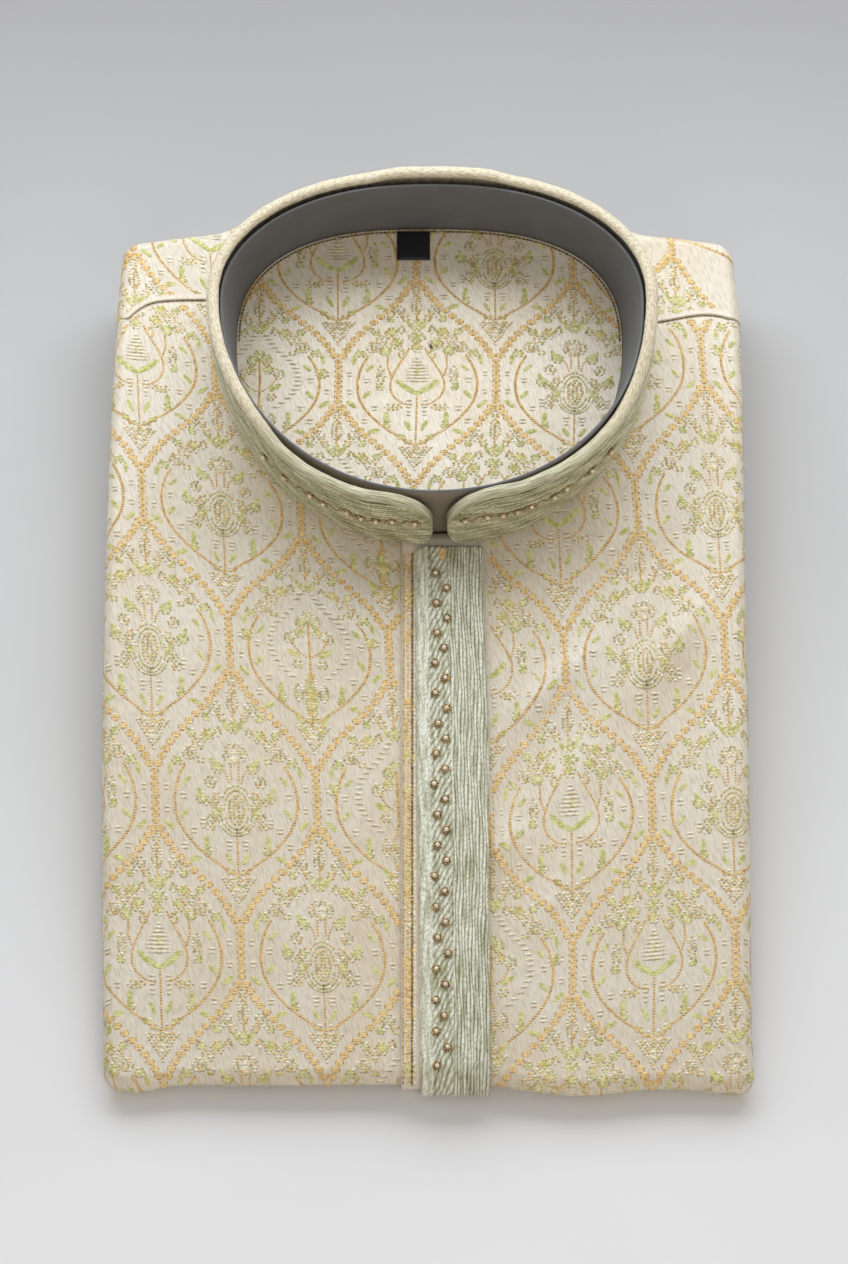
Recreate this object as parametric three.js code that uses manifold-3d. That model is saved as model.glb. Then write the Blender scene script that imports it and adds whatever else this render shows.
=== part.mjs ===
// A kurta folded flat, lying on its back, with its stand collar held open by a plain collar support.
// Millimetres, +Z up. x = 0 is the middle of the folded body, -y is the front (the fold nearest the
// wearer's hem), z = 0 is the surface it lies on.

import * as THREE from 'three';
import { mergeVertices } from 'three/addons/utils/BufferGeometryUtils.js';
import Module from 'manifold-3d';

// ---------------------------------------------------------------------------------------------
// Driving dimensions
// ---------------------------------------------------------------------------------------------

const WALL = 1.5;                 // one ply of the faced brocade
const SEAM_GAP = 0.3;             // space left between neighbouring pieces
const FOLD_RADIUS = 4.5;          // outer radius where the upper cloth rolls round an edge
const TUCK = 1.5;                 // cloth that runs on flat under the roll
const CORNER_RADIUS = 2;          // plan radius of the flat top inside the rolled corners

const FRONT_HEIGHT = 11;          // top of the cloth at the front fold
const BACK_HEIGHT = 46;           // top of the cloth at the back, on the centre line
const SLOPE_START_Y = -169;
const SLOPE_LENGTH = 335;
const SLOPE_RUN_ON = 1.05;        // share of that length at which the slope levels off
const CROWN_FRONT = 1;            // fall of the top surface from the centre to the side, at the front
const CROWN_BACK = 9;             // the same at the shoulders, the slope of the shoulder
const CROWN_BACK_Y = 170;
const CROWN_REACH = 106;
const CROWN_RUN_ON = 1.1;         // share of that reach at which the fall ends

const SHOULDER_EDGE_Y = 174;      // back fold at the shoulder tips
const NECK_BOW = 10;              // how far the back fold bows out behind the collar
const NECK_BOW_INNER = 50;
const NECK_BOW_OUTER = 82;

const COLLAR_HEIGHT = 36;
const COLLAR_BASE = { x: 2, y: 124, half: 79.5, front: 84.5, back: 55, square: 2.8, leftFront: 2 };
const COLLAR_RIM = { x: 1.5, y: 122, half: 82.5, front: 84.5, back: 51, square: 2.2, leftFront: 2.1 };
const COLLAR_OUTER_WALL = 1.6;
const COLLAR_INNER_WALL = 1.7;
const COLLAR_BULGE = 0.8;         // outward swell of the band at half its height
const COLLAR_END_RIGHT_X = 2.1;   // end of the band on the wearer's right
const COLLAR_END_LEFT_X = 6.8;    // end of the band on the wearer's left
const COLLAR_END_TIP = 18.5;      // height of the foremost point of a rounded end
const COLLAR_END_TOP_RUN = 14;    // run of the rounding above that point
const COLLAR_END_LOW_RUN = 4;     // run of the rounding below it
const RIM_ROLL_DEPTH = 3.4;       // depth of the rolled brocade edge on top of the band

const SUPPORT_FOOT = { x: 0.5, y: 124, half: 72.2, front: 78.4, back: 49.9, square: 2.7, leftFront: 2 };
const SUPPORT_TOP = { x: 1.4, y: 122, half: 77.7, front: 78, back: 46, square: 2.2, leftFront: 2.15 };
const SUPPORT_WALL = 1.2;
const SUPPORT_FRONT_HEIGHT = 30;
const SUPPORT_BACK_HEIGHT = 35.5;

const NECK_HOLE_INSET = 4.4;      // neck edge of the body panels, measured in from the collar's base
const FLOOR_OVERLAP = 2;          // how far the inside back runs on under the neck edge
const PAD_OVERLAP = 3.4;          // how far the hollow for it runs on in the layers below

const LAP_EDGE_X = -9.5;          // free edge of the wearer's left front, which laps over the right
const LAP_STEP_START_X = 15.5;    // where the lap starts to come down beside the hidden edge
const LAP_STEP_END_X = 20;
const LAP_BRIDGE_RUN = 13;
const UNDERLAP_EDGE_X = 14.7;     // hidden edge of the wearer's right front
const PLACKET_LEFT_X = -4;
const PLACKET_RIGHT_X = 21.4;
const PLACKET_WALL = 1.8;
const PLACKET_COLLAR_SPACE = 1.2;

const LABEL_X = -5.4;
const LABEL_WIDTH = 12.2;
const LABEL_LENGTH = 12;
const LABEL_WALL = 1;
const LABEL_BACK_Y = 171.5;

const LINING_SPACE = 0.4;         // space between the upper cloth and the layers inside its fold
const LAYER_TOP_DROP = 1;         // further drop of the layers' top, clear of the soft troughs
const LAYER_COUNT = 2;            // folded layers that show below the upper fold
const LAYER_SETBACK = 0.9;        // each layer lies this much further in than the one above
const LAYER_ROUNDING = 3;
const FRONT_LIFT_SETBACK = 8;     // the layers stop short of the front fold, which stands clear

// ---------------------------------------------------------------------------------------------
// Tables
// ---------------------------------------------------------------------------------------------

// Side folds: distance of the outermost cloth from x = 0 on the wearer's right (-x) and left (+x).
const SIDE_EDGE = [
  { y: -175, right: 114.6, left: 115.6 },
  { y: -150, right: 115.0, left: 114.6 },
  { y: -125, right: 115.9, left: 114.8 },
  { y: -40, right: 117.4, left: 115.4 },
  { y: 25, right: 117.5, left: 115.3 },
  { y: 90, right: 116.8, left: 115.7 },
  { y: 143, right: 115.2, left: 115.5 },
  { y: 160, right: 114.1, left: 113.9 },
  { y: 190, right: 112.0, left: 111.0 },
];

// Front fold: its foremost line, with the wave that the limp layers put in it.
const FRONT_EDGE = [
  { x: -130, y: -171.2 },
  { x: -112, y: -172.3 },
  { x: -102, y: -172.9 },
  { x: -90, y: -170.6 },
  { x: -62, y: -170.8 },
  { x: -10, y: -170.4 },
  { x: 22, y: -170.9 },
  { x: 40, y: -173.8 },
  { x: 58, y: -174.7 },
  { x: 76, y: -172.4 },
  { x: 92, y: -172.2 },
  { x: 107, y: -173.6 },
  { x: 130, y: -172.6 },
];

// Soft troughs in the upper cloth: centre, direction in degrees, half length, half width and depth.
const TROUGHS = [
  { x: 40, y: -42, turn: 56, length: 48, width: 10, depth: 1.2 },
  { x: 62, y: -62, turn: 40, length: 34, width: 8, depth: 0.8 },
  { x: 78, y: 12, turn: -58, length: 55, width: 11, depth: 1.3 },
  { x: 96, y: -34, turn: -74, length: 42, width: 9, depth: 0.9 },
  { x: -52, y: 14, turn: 70, length: 46, width: 12, depth: 0.9 },
  { x: -86, y: 74, turn: 40, length: 34, width: 10, depth: 0.8 },
  { x: -28, y: -88, turn: 12, length: 50, width: 13, depth: 0.6 },
];

// Where the troughs fade in and out: towards the sides, the two ends, the placket and the neck edge.
const TROUGH_FADES = {
  side: { from: 92, to: 108 },
  front: { from: -166, to: -148 },
  back: { from: 120, to: 140 },
  placket: { from: 10, to: 22 },
  neck: { from: 1.02, to: 1.2 },
};
const PLACKET_MIDDLE_X = 6;

// The band dips at the front, and leans out on the wearer's right. Its height is less by the dip,
// and its rim stands further out by the lean. The angle is 0 at +x and 90 degrees at the back.
const COLLAR_FRONT = [
  { angle: -90, dip: 4.5, lean: 0 },
  { angle: -75, dip: 5, lean: 0 },
  { angle: -60, dip: 6, lean: 0 },
  { angle: -50, dip: 7, lean: 0 },
  { angle: -35, dip: 7, lean: 0 },
  { angle: -25, dip: 5.5, lean: 0 },
  { angle: -12, dip: 2, lean: 0 },
  { angle: 0, dip: 0, lean: 0 },
  { angle: 20, dip: 0, lean: 0 },
  { angle: 180, dip: 0, lean: 0 },
  { angle: 205, dip: 0, lean: 0 },
  { angle: 218, dip: 1, lean: 0.7 },
  { angle: 230, dip: 4.5, lean: 1.7 },
  { angle: 250, dip: 5, lean: 1.7 },
  { angle: 262, dip: 5, lean: 0.9 },
  { angle: 270, dip: 4, lean: 0 },
];

// Section of the rolled edge, from the outside over the top: distance in from the band's outer face,
// and depth below the top as a share of the roll's depth.
const RIM_SECTION = [
  { inset: 0.3, down: 1 },
  { inset: -0.1, down: 0.62 },
  { inset: 0.3, down: 0.25 },
  { inset: 1.5, down: 0 },
  { inset: 2.9, down: 0.06 },
  { inset: 4.2, down: 0.5 },
  { inset: 3.6, down: 1.15 },
];

// Shoulder seams, where the yoke meets the fronts.
const RIGHT_SEAM = [
  { x: -140, y: 130 },
  { x: -115.5, y: 136.2 },
  { x: -108.5, y: 142.8 },
  { x: -103, y: 145.6 },
  { x: -95.5, y: 145.8 },
  { x: -81.4, y: 144.5 },
  { x: -60, y: 142.5 },
];
const LEFT_SEAM = [
  { x: 60, y: 132 },
  { x: 83.8, y: 135.3 },
  { x: 100.6, y: 140.3 },
  { x: 108, y: 141 },
  { x: 114.7, y: 139.6 },
  { x: 140, y: 134 },
];

// Colours and finishes.
const MATERIALS = {
  brocade: { color: '#dcd5c9', roughness: 0.62, metalness: 0 },
  layers: { color: '#d2cabd', roughness: 0.7, metalness: 0 },
  threadwork: { color: '#b7bfae', roughness: 0.6, metalness: 0 },
  support: { color: '#68686a', roughness: 0.75, metalness: 0 },
  label: { color: '#0e0e10', roughness: 0.8, metalness: 0 },
};

// ---------------------------------------------------------------------------------------------
// Small helpers
// ---------------------------------------------------------------------------------------------

const lerp = THREE.MathUtils.lerp;
const radians = THREE.MathUtils.degToRad;

function smoothStep(start, end, value) {
  const t = THREE.MathUtils.clamp((value - start) / (end - start), 0, 1);
  return t * t * (3 - 2 * t);
}

// Smooth curve through one column of a table, by Catmull-Rom with the ends repeated.
function tableCurve(rows, key, column, value) {
  let i = 0;
  while (i < rows.length - 2 && value > rows[i + 1][key]) i += 1;
  const before = rows[Math.max(i - 1, 0)];
  const after = rows[Math.min(i + 2, rows.length - 1)];
  const from = rows[i];
  const to = rows[i + 1];
  const span = to[key] - from[key];
  const t = THREE.MathUtils.clamp((value - from[key]) / span, 0, 1);
  const slopeFrom = (to[column] - before[column]) / (to[key] - before[key]) * span;
  const slopeTo = (after[column] - from[column]) / (after[key] - from[key]) * span;
  const t2 = t * t;
  const t3 = t2 * t;
  return (2 * t3 - 3 * t2 + 1) * from[column] + (t3 - 2 * t2 + t) * slopeFrom
    + (3 * t2 - 2 * t3) * to[column] + (t3 - t2) * slopeTo;
}

// ---------------------------------------------------------------------------------------------
// Shape of the folded body
// ---------------------------------------------------------------------------------------------

function troughDepth(x, y) {
  let depth = 0;
  for (const trough of TROUGHS) {
    const turn = radians(trough.turn);
    const along = (x - trough.x) * Math.cos(turn) + (y - trough.y) * Math.sin(turn);
    const across = (y - trough.y) * Math.cos(turn) - (x - trough.x) * Math.sin(turn);
    const fade = Math.max(0, 1 - (along / trough.length) ** 2);
    depth += trough.depth * fade * fade * Math.exp(-((across / trough.width) ** 2));
  }
  return depth;
}

// Top of the folded body without its soft troughs.
function plainTop(x, y) {
  const along = THREE.MathUtils.clamp((y - SLOPE_START_Y) / SLOPE_LENGTH, 0, SLOPE_RUN_ON);
  const crown = lerp(CROWN_FRONT, CROWN_BACK, smoothStep(0, CROWN_BACK_Y, y));
  const outward = Math.min(Math.abs(x) / CROWN_REACH, CROWN_RUN_ON);
  return lerp(FRONT_HEIGHT, BACK_HEIGHT, along) - crown * outward ** 3;
}

// Top of the folded body with its troughs, which die out towards the folds, placket and neck edge.
function clothTop(x, y) {
  const fade = (name, value) => smoothStep(TROUGH_FADES[name].from, TROUGH_FADES[name].to, value);
  const ends = fade('front', y) * (1 - fade('back', y));
  const side = 1 - fade('side', Math.abs(x));
  const placket = fade('placket', Math.abs(x - PLACKET_MIDDLE_X));
  return plainTop(x, y) - troughDepth(x, y) * side * ends * placket * fade('neck', neckRatio(x, y));
}

// 1 on the outer face of the collar's base, less inside it.
function neckRatio(x, y) {
  const dx = Math.abs(x - COLLAR_BASE.x) / COLLAR_BASE.half;
  const dy = y - COLLAR_BASE.y;
  const power = dy > 0 ? COLLAR_BASE.square : 2;
  const depth = dy > 0 ? COLLAR_BASE.back : COLLAR_BASE.front;
  return (dx ** power + (Math.abs(dy) / depth) ** power) ** (1 / power);
}

// Raise of the wearer's left front where it laps over the right.
function lapLift(x) {
  return (WALL + SEAM_GAP) * (1 - smoothStep(LAP_STEP_START_X, LAP_STEP_END_X, x));
}

// The same for what stands across both fronts: it comes down gently beyond the lap on each side.
function lapBridge(x) {
  const right = smoothStep(LAP_EDGE_X - LAP_BRIDGE_RUN, LAP_EDGE_X, x);
  const left = 1 - smoothStep(LAP_STEP_END_X, LAP_STEP_END_X + LAP_BRIDGE_RUN, x);
  return (WALL + SEAM_GAP) * right * left;
}

function sideEdge(x, y) {
  return x < 0 ? -tableCurve(SIDE_EDGE, 'y', 'right', y) : tableCurve(SIDE_EDGE, 'y', 'left', y);
}

function frontFlatEdge(x) {
  return tableCurve(FRONT_EDGE, 'x', 'y', x) + FOLD_RADIUS;
}

function backFlatEdge(x) {
  const bow = NECK_BOW * (1 - smoothStep(NECK_BOW_INNER, NECK_BOW_OUTER, Math.abs(x)));
  return SHOULDER_EDGE_Y - FOLD_RADIUS + bow;
}

// An egg-shaped ring in plan: a half ellipse in front, fuller at the wearer's left, and a squarer
// half behind. The angle is 0 at +x and 90 degrees at the back.
function eggPoint(ring, angle, inset) {
  const c = Math.cos(angle);
  const s = Math.sin(angle);
  const frontPower = c > 0 ? ring.leftFront : 2;
  const power = s > 0 ? ring.square : frontPower;
  const depth = (s > 0 ? ring.back : ring.front) - inset;
  const reach = (Math.abs(c) ** power + Math.abs(s) ** power) ** (-1 / power);
  return { x: ring.x + (ring.half - inset) * reach * c, y: ring.y + depth * reach * s };
}

function mixRings(from, to, t) {
  const ring = {};
  for (const key of Object.keys(from)) ring[key] = lerp(from[key], to[key], t);
  return ring;
}

// ---------------------------------------------------------------------------------------------
// Stations round the folded body
// ---------------------------------------------------------------------------------------------

const FRONT_X = [-103, -92, -78, -62, -44, -28, -14, -6, 4, 12, 15.5, 17.7, 20, 30, 44, 58, 72, 88, 103];
const SIDE_Y = [-160, -130, -98, -66, -34, -4, 26, 56, 84, 108, 128, 144, 160];
const BACK_X = [100, 88, 78, 69, 60, 46, 24, 0, -24, -46, -60, -69, -78, -88, -100];
const CORNER_ANGLES = [15, 45, 75];
const CORNER_X = 108;             // where the front and back folds are read for the corners

const NECK_PARALLEL_X = 34;       // front rays stay parallel to the placket inside this width
const NECK_FAN = 0.42;            // and close up by this outside it
const NECK_FRONT_ANGLE = -28;     // neck angle that the foremost side station looks to
const NECK_SIDE_TURN = 0.8;       // degrees of neck angle for each mm behind the widest line
const NECK_FRONT_CORNER_STEP = 0.6;   // degrees from one front corner station to the next
const NECK_CORNER_ANGLES = [33, 37, 41];
const NECK_BACK_ANGLE = 45;       // neck angle that the outermost back station looks to

function frontNeckAngle(x) {
  const spread = Math.max(Math.abs(x) - NECK_PARALLEL_X, 0);
  const target = Math.sign(x) * (Math.min(Math.abs(x), NECK_PARALLEL_X) + NECK_FAN * spread);
  const half = COLLAR_BASE.half - NECK_HOLE_INSET;
  return -Math.acos((target - COLLAR_BASE.x) / half);
}

function sideNeckAngle(y) {
  const behind = y - COLLAR_BASE.y;
  if (behind > 0) return radians(behind * NECK_SIDE_TURN);
  return radians(NECK_FRONT_ANGLE * behind / (SIDE_Y[0] - COLLAR_BASE.y));
}

function backNeckAngle(x) {
  const t = Math.abs(x) / BACK_X[0];
  const turn = lerp(90, NECK_BACK_ANGLE, t);
  return radians(x >= 0 ? turn : 180 - turn);
}

// A station is a point on the edge of the flat top, the outward direction there and the neck angle
// that its ray looks to. They run anticlockwise seen from above, from the front right corner.
function bodyStations() {
  const stations = [];
  const corner = (sx, sy, angle, neckDegrees) => {
    const edgeY = sy < 0 ? frontFlatEdge(sx * CORNER_X) : backFlatEdge(sx * CORNER_X);
    const edgeX = Math.abs(sideEdge(sx, edgeY)) - FOLD_RADIUS;
    const nx = sx * Math.cos(radians(angle));
    const ny = sy * Math.sin(radians(angle));
    const x = sx * (edgeX - CORNER_RADIUS) + CORNER_RADIUS * nx;
    const y = edgeY - sy * CORNER_RADIUS + CORNER_RADIUS * ny;
    const turn = sx > 0 ? neckDegrees : 180 - neckDegrees;
    stations.push({ x, y, nx, ny, neck: radians(turn) });
  };
  const side = (sx, y) => {
    const x = sideEdge(sx, y) - sx * FOLD_RADIUS;
    const angle = sideNeckAngle(y);
    stations.push({ x, y, nx: sx, ny: 0, neck: sx > 0 ? angle : Math.PI - angle });
  };
  for (const x of FRONT_X) {
    stations.push({ x, y: frontFlatEdge(x), nx: 0, ny: -1, neck: frontNeckAngle(x) });
  }
  const frontCorner = (k) => NECK_FRONT_ANGLE - NECK_FRONT_CORNER_STEP * (CORNER_ANGLES.length - k);
  CORNER_ANGLES.slice().reverse().forEach((angle, k) => corner(1, -1, angle, frontCorner(k)));
  for (const y of SIDE_Y) side(1, y);
  CORNER_ANGLES.forEach((angle, k) => corner(1, 1, angle, NECK_CORNER_ANGLES[k]));
  for (const x of BACK_X) {
    stations.push({ x, y: backFlatEdge(x), nx: 0, ny: 1, neck: backNeckAngle(x) });
  }
  const last = CORNER_ANGLES.length - 1;
  CORNER_ANGLES.forEach((_, k) => corner(-1, 1, CORNER_ANGLES[last - k], NECK_CORNER_ANGLES[last - k]));
  for (const y of SIDE_Y.slice().reverse()) side(-1, y);
  CORNER_ANGLES.forEach((angle, k) => corner(-1, -1, angle, frontCorner(last - k)));
  return stations;
}

const STATIONS = bodyStations();

// ---------------------------------------------------------------------------------------------
// Meshes from rings and grids of points
// ---------------------------------------------------------------------------------------------

function meshGeometry(points, triangles) {
  const geometry = new THREE.BufferGeometry();
  const position = new Float32Array(points.length * 3);
  points.forEach((p, i) => position.set([p.x, p.y, p.z], i * 3));
  geometry.setAttribute('position', new THREE.BufferAttribute(position, 3));
  geometry.setIndex(triangles);
  return geometry;
}

// Closed body from loops of equal length, joined in order and capped at the first and last loop.
// The loops run anticlockwise seen from where the last one lies.
function loftLoops(loops) {
  const count = loops[0].length;
  const points = loops.flat();
  const triangles = [];
  for (let i = 0; i + 1 < loops.length; i += 1) {
    for (let j = 0; j < count; j += 1) {
      const a = i * count + j;
      const b = i * count + (j + 1) % count;
      triangles.push(a, b, b + count, a, b + count, a + count);
    }
  }
  const cap = (loop, start, forward) => {
    const centre = loop.reduce((sum, p) => sum.add(p), new THREE.Vector3()).divideScalar(count);
    points.push(centre);
    const hub = points.length - 1;
    for (let j = 0; j < count; j += 1) {
      const a = start + j;
      const b = start + (j + 1) % count;
      if (forward) triangles.push(a, b, hub);
      else triangles.push(b, a, hub);
    }
  };
  cap(loops[0], 0, false);
  cap(loops[loops.length - 1], (loops.length - 1) * count, true);
  return meshGeometry(points, triangles);
}

// Closed wall between an outer and an inner grid of points, rows[i][j], with the columns joined
// round when wrap is set. Its outer side is where the rows turn anticlockwise about the outward way.
function wallFromGrids(outer, inner, wrap) {
  const rows = outer.length;
  const columns = outer[0].length;
  const points = [...outer.flat(), ...inner.flat()];
  const shift = rows * columns;
  const triangles = [];
  const quad = (a, b, c, d) => triangles.push(a, b, c, a, c, d);
  const last = wrap ? columns : columns - 1;
  for (let i = 0; i + 1 < rows; i += 1) {
    for (let j = 0; j < last; j += 1) {
      const a = i * columns + j;
      const b = i * columns + (j + 1) % columns;
      quad(a, b, b + columns, a + columns);
      quad(a + shift, a + columns + shift, b + columns + shift, b + shift);
    }
  }
  for (let j = 0; j < last; j += 1) {
    const next = (j + 1) % columns;
    const end = (rows - 1) * columns;
    quad(j + shift, next + shift, next, j);
    quad(end + j, end + next, end + next + shift, end + j + shift);
  }
  if (!wrap) {
    for (let i = 0; i + 1 < rows; i += 1) {
      const a = i * columns;
      const b = a + columns - 1;
      quad(a, a + columns, a + columns + shift, a + shift);
      quad(b, b + shift, b + columns + shift, b + columns);
    }
  }
  return meshGeometry(points, triangles);
}

// ---------------------------------------------------------------------------------------------
// The upper cloth: one skin over the folded body, from the neck edge round the rolled edges
// ---------------------------------------------------------------------------------------------

const FLAT_STEPS = [1, 0.88, 0.76, 0.63, 0.5, 0.38, 0.26, 0.14, 0.05, 0];
const ROLL_ANGLES = [180, 150, 120, 90, 60, 30];

function surfaceNormal(x, y) {
  const step = 0.5;
  const slopeX = (clothTop(x + step, y) - clothTop(x - step, y)) / (2 * step);
  const slopeY = (clothTop(x, y + step) - clothTop(x, y - step)) / (2 * step);
  return new THREE.Vector3(-slopeX, -slopeY, 1).normalize();
}

// Point of the flat top at a height above the cloth's outer face.
function topPoint(x, y, out) {
  const point = new THREE.Vector3(x, y, clothTop(x, y));
  return point.addScaledVector(surfaceNormal(x, y), out);
}

// Point of a rolled edge: the roll turns by an angle from the top, and past 180 degrees the cloth
// runs back under the fold.
function rollPoint(station, degrees, under, out) {
  const top = plainTop(station.x, station.y);
  const turn = radians(degrees);
  const reach = (FOLD_RADIUS + out) * Math.sin(turn) - under;
  return new THREE.Vector3(
    station.x + station.nx * reach,
    station.y + station.ny * reach,
    top - FOLD_RADIUS + (FOLD_RADIUS + out) * Math.cos(turn),
  );
}

// Rows of the skin from the tuck under the roll to the neck edge, each with a point per station.
// lift raises the skin by a distance that depends on x.
function skinRows(lift, out) {
  const height = (x) => lift(x) + out;
  const rows = [STATIONS.map((s) => rollPoint(s, 180, TUCK, height(s.x)))];
  for (const angle of ROLL_ANGLES) {
    rows.push(STATIONS.map((s) => rollPoint(s, angle, 0, height(s.x))));
  }
  for (const step of FLAT_STEPS) {
    rows.push(STATIONS.map((s) => {
      const neck = eggPoint(COLLAR_BASE, s.neck, NECK_HOLE_INSET);
      const x = lerp(neck.x, s.x, step);
      return topPoint(x, lerp(neck.y, s.y, step), height(x));
    }));
  }
  return rows;
}

function skinGeometry(lift) {
  return wallFromGrids(skinRows(lift, 0), skinRows(lift, -WALL), true);
}

// ---------------------------------------------------------------------------------------------
// Cutting the skin along its seams
// ---------------------------------------------------------------------------------------------

const wasm = await Module();
wasm.setup();

function toSolid(geometry) {
  const bare = geometry.clone();
  bare.deleteAttribute('normal');
  bare.deleteAttribute('uv');
  const merged = mergeVertices(bare, 1e-4);
  return new wasm.Manifold(new wasm.Mesh({
    numProp: 3,
    vertProperties: new Float32Array(merged.attributes.position.array),
    triVerts: new Uint32Array(merged.index.array),
  }));
}

function fromSolid(solid) {
  const mesh = solid.getMesh();
  const geometry = new THREE.BufferGeometry();
  geometry.setAttribute('position', new THREE.BufferAttribute(new Float32Array(mesh.vertProperties), 3));
  geometry.setIndex(new THREE.BufferAttribute(new Uint32Array(mesh.triVerts), 1));
  return geometry;
}

const CUT_LOW = -20;
const CUT_HEIGHT = 140;
const CUT_REACH = 160;
const CUT_BACK_Y = 230;
const CUT_FRONT_Y = -220;

// Upright prism over a plan outline.
function prism(outline) {
  const shape = new THREE.Shape(outline.map((p) => new THREE.Vector2(p.x, p.y)));
  const geometry = new THREE.ExtrudeGeometry(shape, { depth: CUT_HEIGHT, bevelEnabled: false });
  geometry.translate(0, 0, CUT_LOW);
  return toSolid(geometry);
}

function cutSkin(skin, outline) {
  return fromSolid(toSolid(skin).intersect(prism(outline)));
}

function shiftY(seam, by) {
  return seam.map((p) => ({ x: p.x, y: p.y + by }));
}

function frontRightOutline() {
  return [
    { x: -CUT_REACH, y: CUT_FRONT_Y },
    { x: UNDERLAP_EDGE_X, y: CUT_FRONT_Y },
    { x: UNDERLAP_EDGE_X, y: COLLAR_BASE.y },
    ...shiftY(RIGHT_SEAM, -SEAM_GAP).reverse(),
    { x: -CUT_REACH, y: RIGHT_SEAM[0].y },
  ];
}

function frontLeftOutline() {
  return [
    { x: LAP_EDGE_X, y: CUT_FRONT_Y },
    { x: CUT_REACH, y: CUT_FRONT_Y },
    { x: CUT_REACH, y: LEFT_SEAM[LEFT_SEAM.length - 1].y - SEAM_GAP },
    ...shiftY(LEFT_SEAM, -SEAM_GAP).reverse(),
    { x: LAP_EDGE_X, y: COLLAR_BASE.y },
  ];
}

function yokeOutline() {
  return [
    { x: -CUT_REACH, y: RIGHT_SEAM[0].y + SEAM_GAP },
    ...RIGHT_SEAM,
    ...LEFT_SEAM,
    { x: CUT_REACH, y: LEFT_SEAM[LEFT_SEAM.length - 1].y },
    { x: CUT_REACH, y: CUT_BACK_Y },
    { x: -CUT_REACH, y: CUT_BACK_Y },
  ];
}

// ---------------------------------------------------------------------------------------------
// Hidden layers: one rounded solid with its layers parted at the edges
// ---------------------------------------------------------------------------------------------

const TONGUE_RADIUS = FOLD_RADIUS - WALL - LINING_SPACE;
const TONGUE_ROOT = 3.2;          // depth of the groove that the tucked cloth lies in
const TONGUE_SECTION = [            // turn in degrees, then how far the tip draws back and drops
  { turn: 180, back: 0, drop: 0 },
  { turn: 140, back: 0, drop: 0 },
  { turn: 100, back: 0, drop: 0 },
  { turn: 60, back: 0, drop: 0 },
  { turn: 20, back: 0, drop: 0 },
  { turn: 0, back: 2, drop: 0.5 },
];
const LAYER_ANGLES = [-90, -45, 0, 45, 90];
const LAYER_TOP_STEPS = [0.9, 0.72, 0.54, 0.36, 0.18, 0];
const FLOOR_STEPS = [0.66, 0.33];
const FLOOR_STEP_IN = 0.6;        // the hollow's wall slopes in by this much

function alongOutward(station, reach, z) {
  return new THREE.Vector3(station.x + station.nx * reach, station.y + station.ny * reach, z);
}

// Depth below the upper fold that is left for the lower layers at a station.
function lowerStack(station) {
  return plainTop(station.x, station.y) - 2 * FOLD_RADIUS - LINING_SPACE;
}

function layerLoops() {
  const loops = [];
  const setBack = (s) => FRONT_LIFT_SETBACK * Math.max(0, -s.ny);
  for (let k = 0; k < LAYER_COUNT; k += 1) {
    for (const degrees of LAYER_ANGLES) {
      loops.push(STATIONS.map((s) => {
        const height = lowerStack(s) / LAYER_COUNT;
        const round = Math.min(LAYER_ROUNDING, height / 2);
        const turn = radians(degrees);
        const inset = LAYER_SETBACK * (LAYER_COUNT - k) + round * (1 - Math.cos(turn));
        const z = height * (k + 0.5 + 0.5 * Math.sin(turn));
        return alongOutward(s, FOLD_RADIUS - inset - setBack(s), z);
      }));
    }
  }
  const foldCentre = (s) => plainTop(s.x, s.y) - FOLD_RADIUS;
  const rootReach = (s) => -TONGUE_ROOT - setBack(s);
  loops.push(STATIONS.map((s) => alongOutward(s, rootReach(s), lowerStack(s))));
  loops.push(STATIONS.map((s) => alongOutward(s, rootReach(s), foldCentre(s) - TONGUE_RADIUS)));
  for (const row of TONGUE_SECTION) {
    const turn = radians(row.turn);
    const reach = TONGUE_RADIUS * Math.sin(turn) - row.back;
    const rise = TONGUE_RADIUS * Math.cos(turn) - row.drop;
    loops.push(STATIONS.map((s) => alongOutward(s, reach, foldCentre(s) + rise)));
  }
  const topDrop = WALL + LINING_SPACE + LAYER_TOP_DROP;
  const between = (s, step, inset, drop) => {
    const neck = eggPoint(COLLAR_BASE, s.neck, inset);
    const x = lerp(neck.x, s.x, step);
    const y = lerp(neck.y, s.y, step);
    return new THREE.Vector3(x, y, plainTop(x, y) - drop);
  };
  const padInset = NECK_HOLE_INSET - PAD_OVERLAP;
  for (const step of LAYER_TOP_STEPS) {
    loops.push(STATIONS.map((s) => between(s, step, padInset, topDrop)));
  }
  const floorDrop = 2 * WALL + SEAM_GAP + LINING_SPACE;
  loops.push(STATIONS.map((s) => between(s, 0, padInset + FLOOR_STEP_IN, floorDrop)));
  for (const step of FLOOR_STEPS) {
    loops.push(STATIONS.map((s) => {
      const neck = eggPoint(COLLAR_BASE, s.neck, padInset);
      const x = lerp(COLLAR_BASE.x, neck.x, step);
      const y = lerp(COLLAR_BASE.y, neck.y, step);
      return new THREE.Vector3(x, y, plainTop(x, y) - floorDrop);
    }));
  }
  return loops;
}

// ---------------------------------------------------------------------------------------------
// Inside back, seen through the neck
// ---------------------------------------------------------------------------------------------

const RING_COUNT = 56;
const FLOOR_RINGS = [1, 0.72, 0.46, 0.22, 0.04];

function ringAngles(count) {
  return Array.from({ length: count }, (_, i) => 2 * Math.PI * i / count);
}

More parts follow.
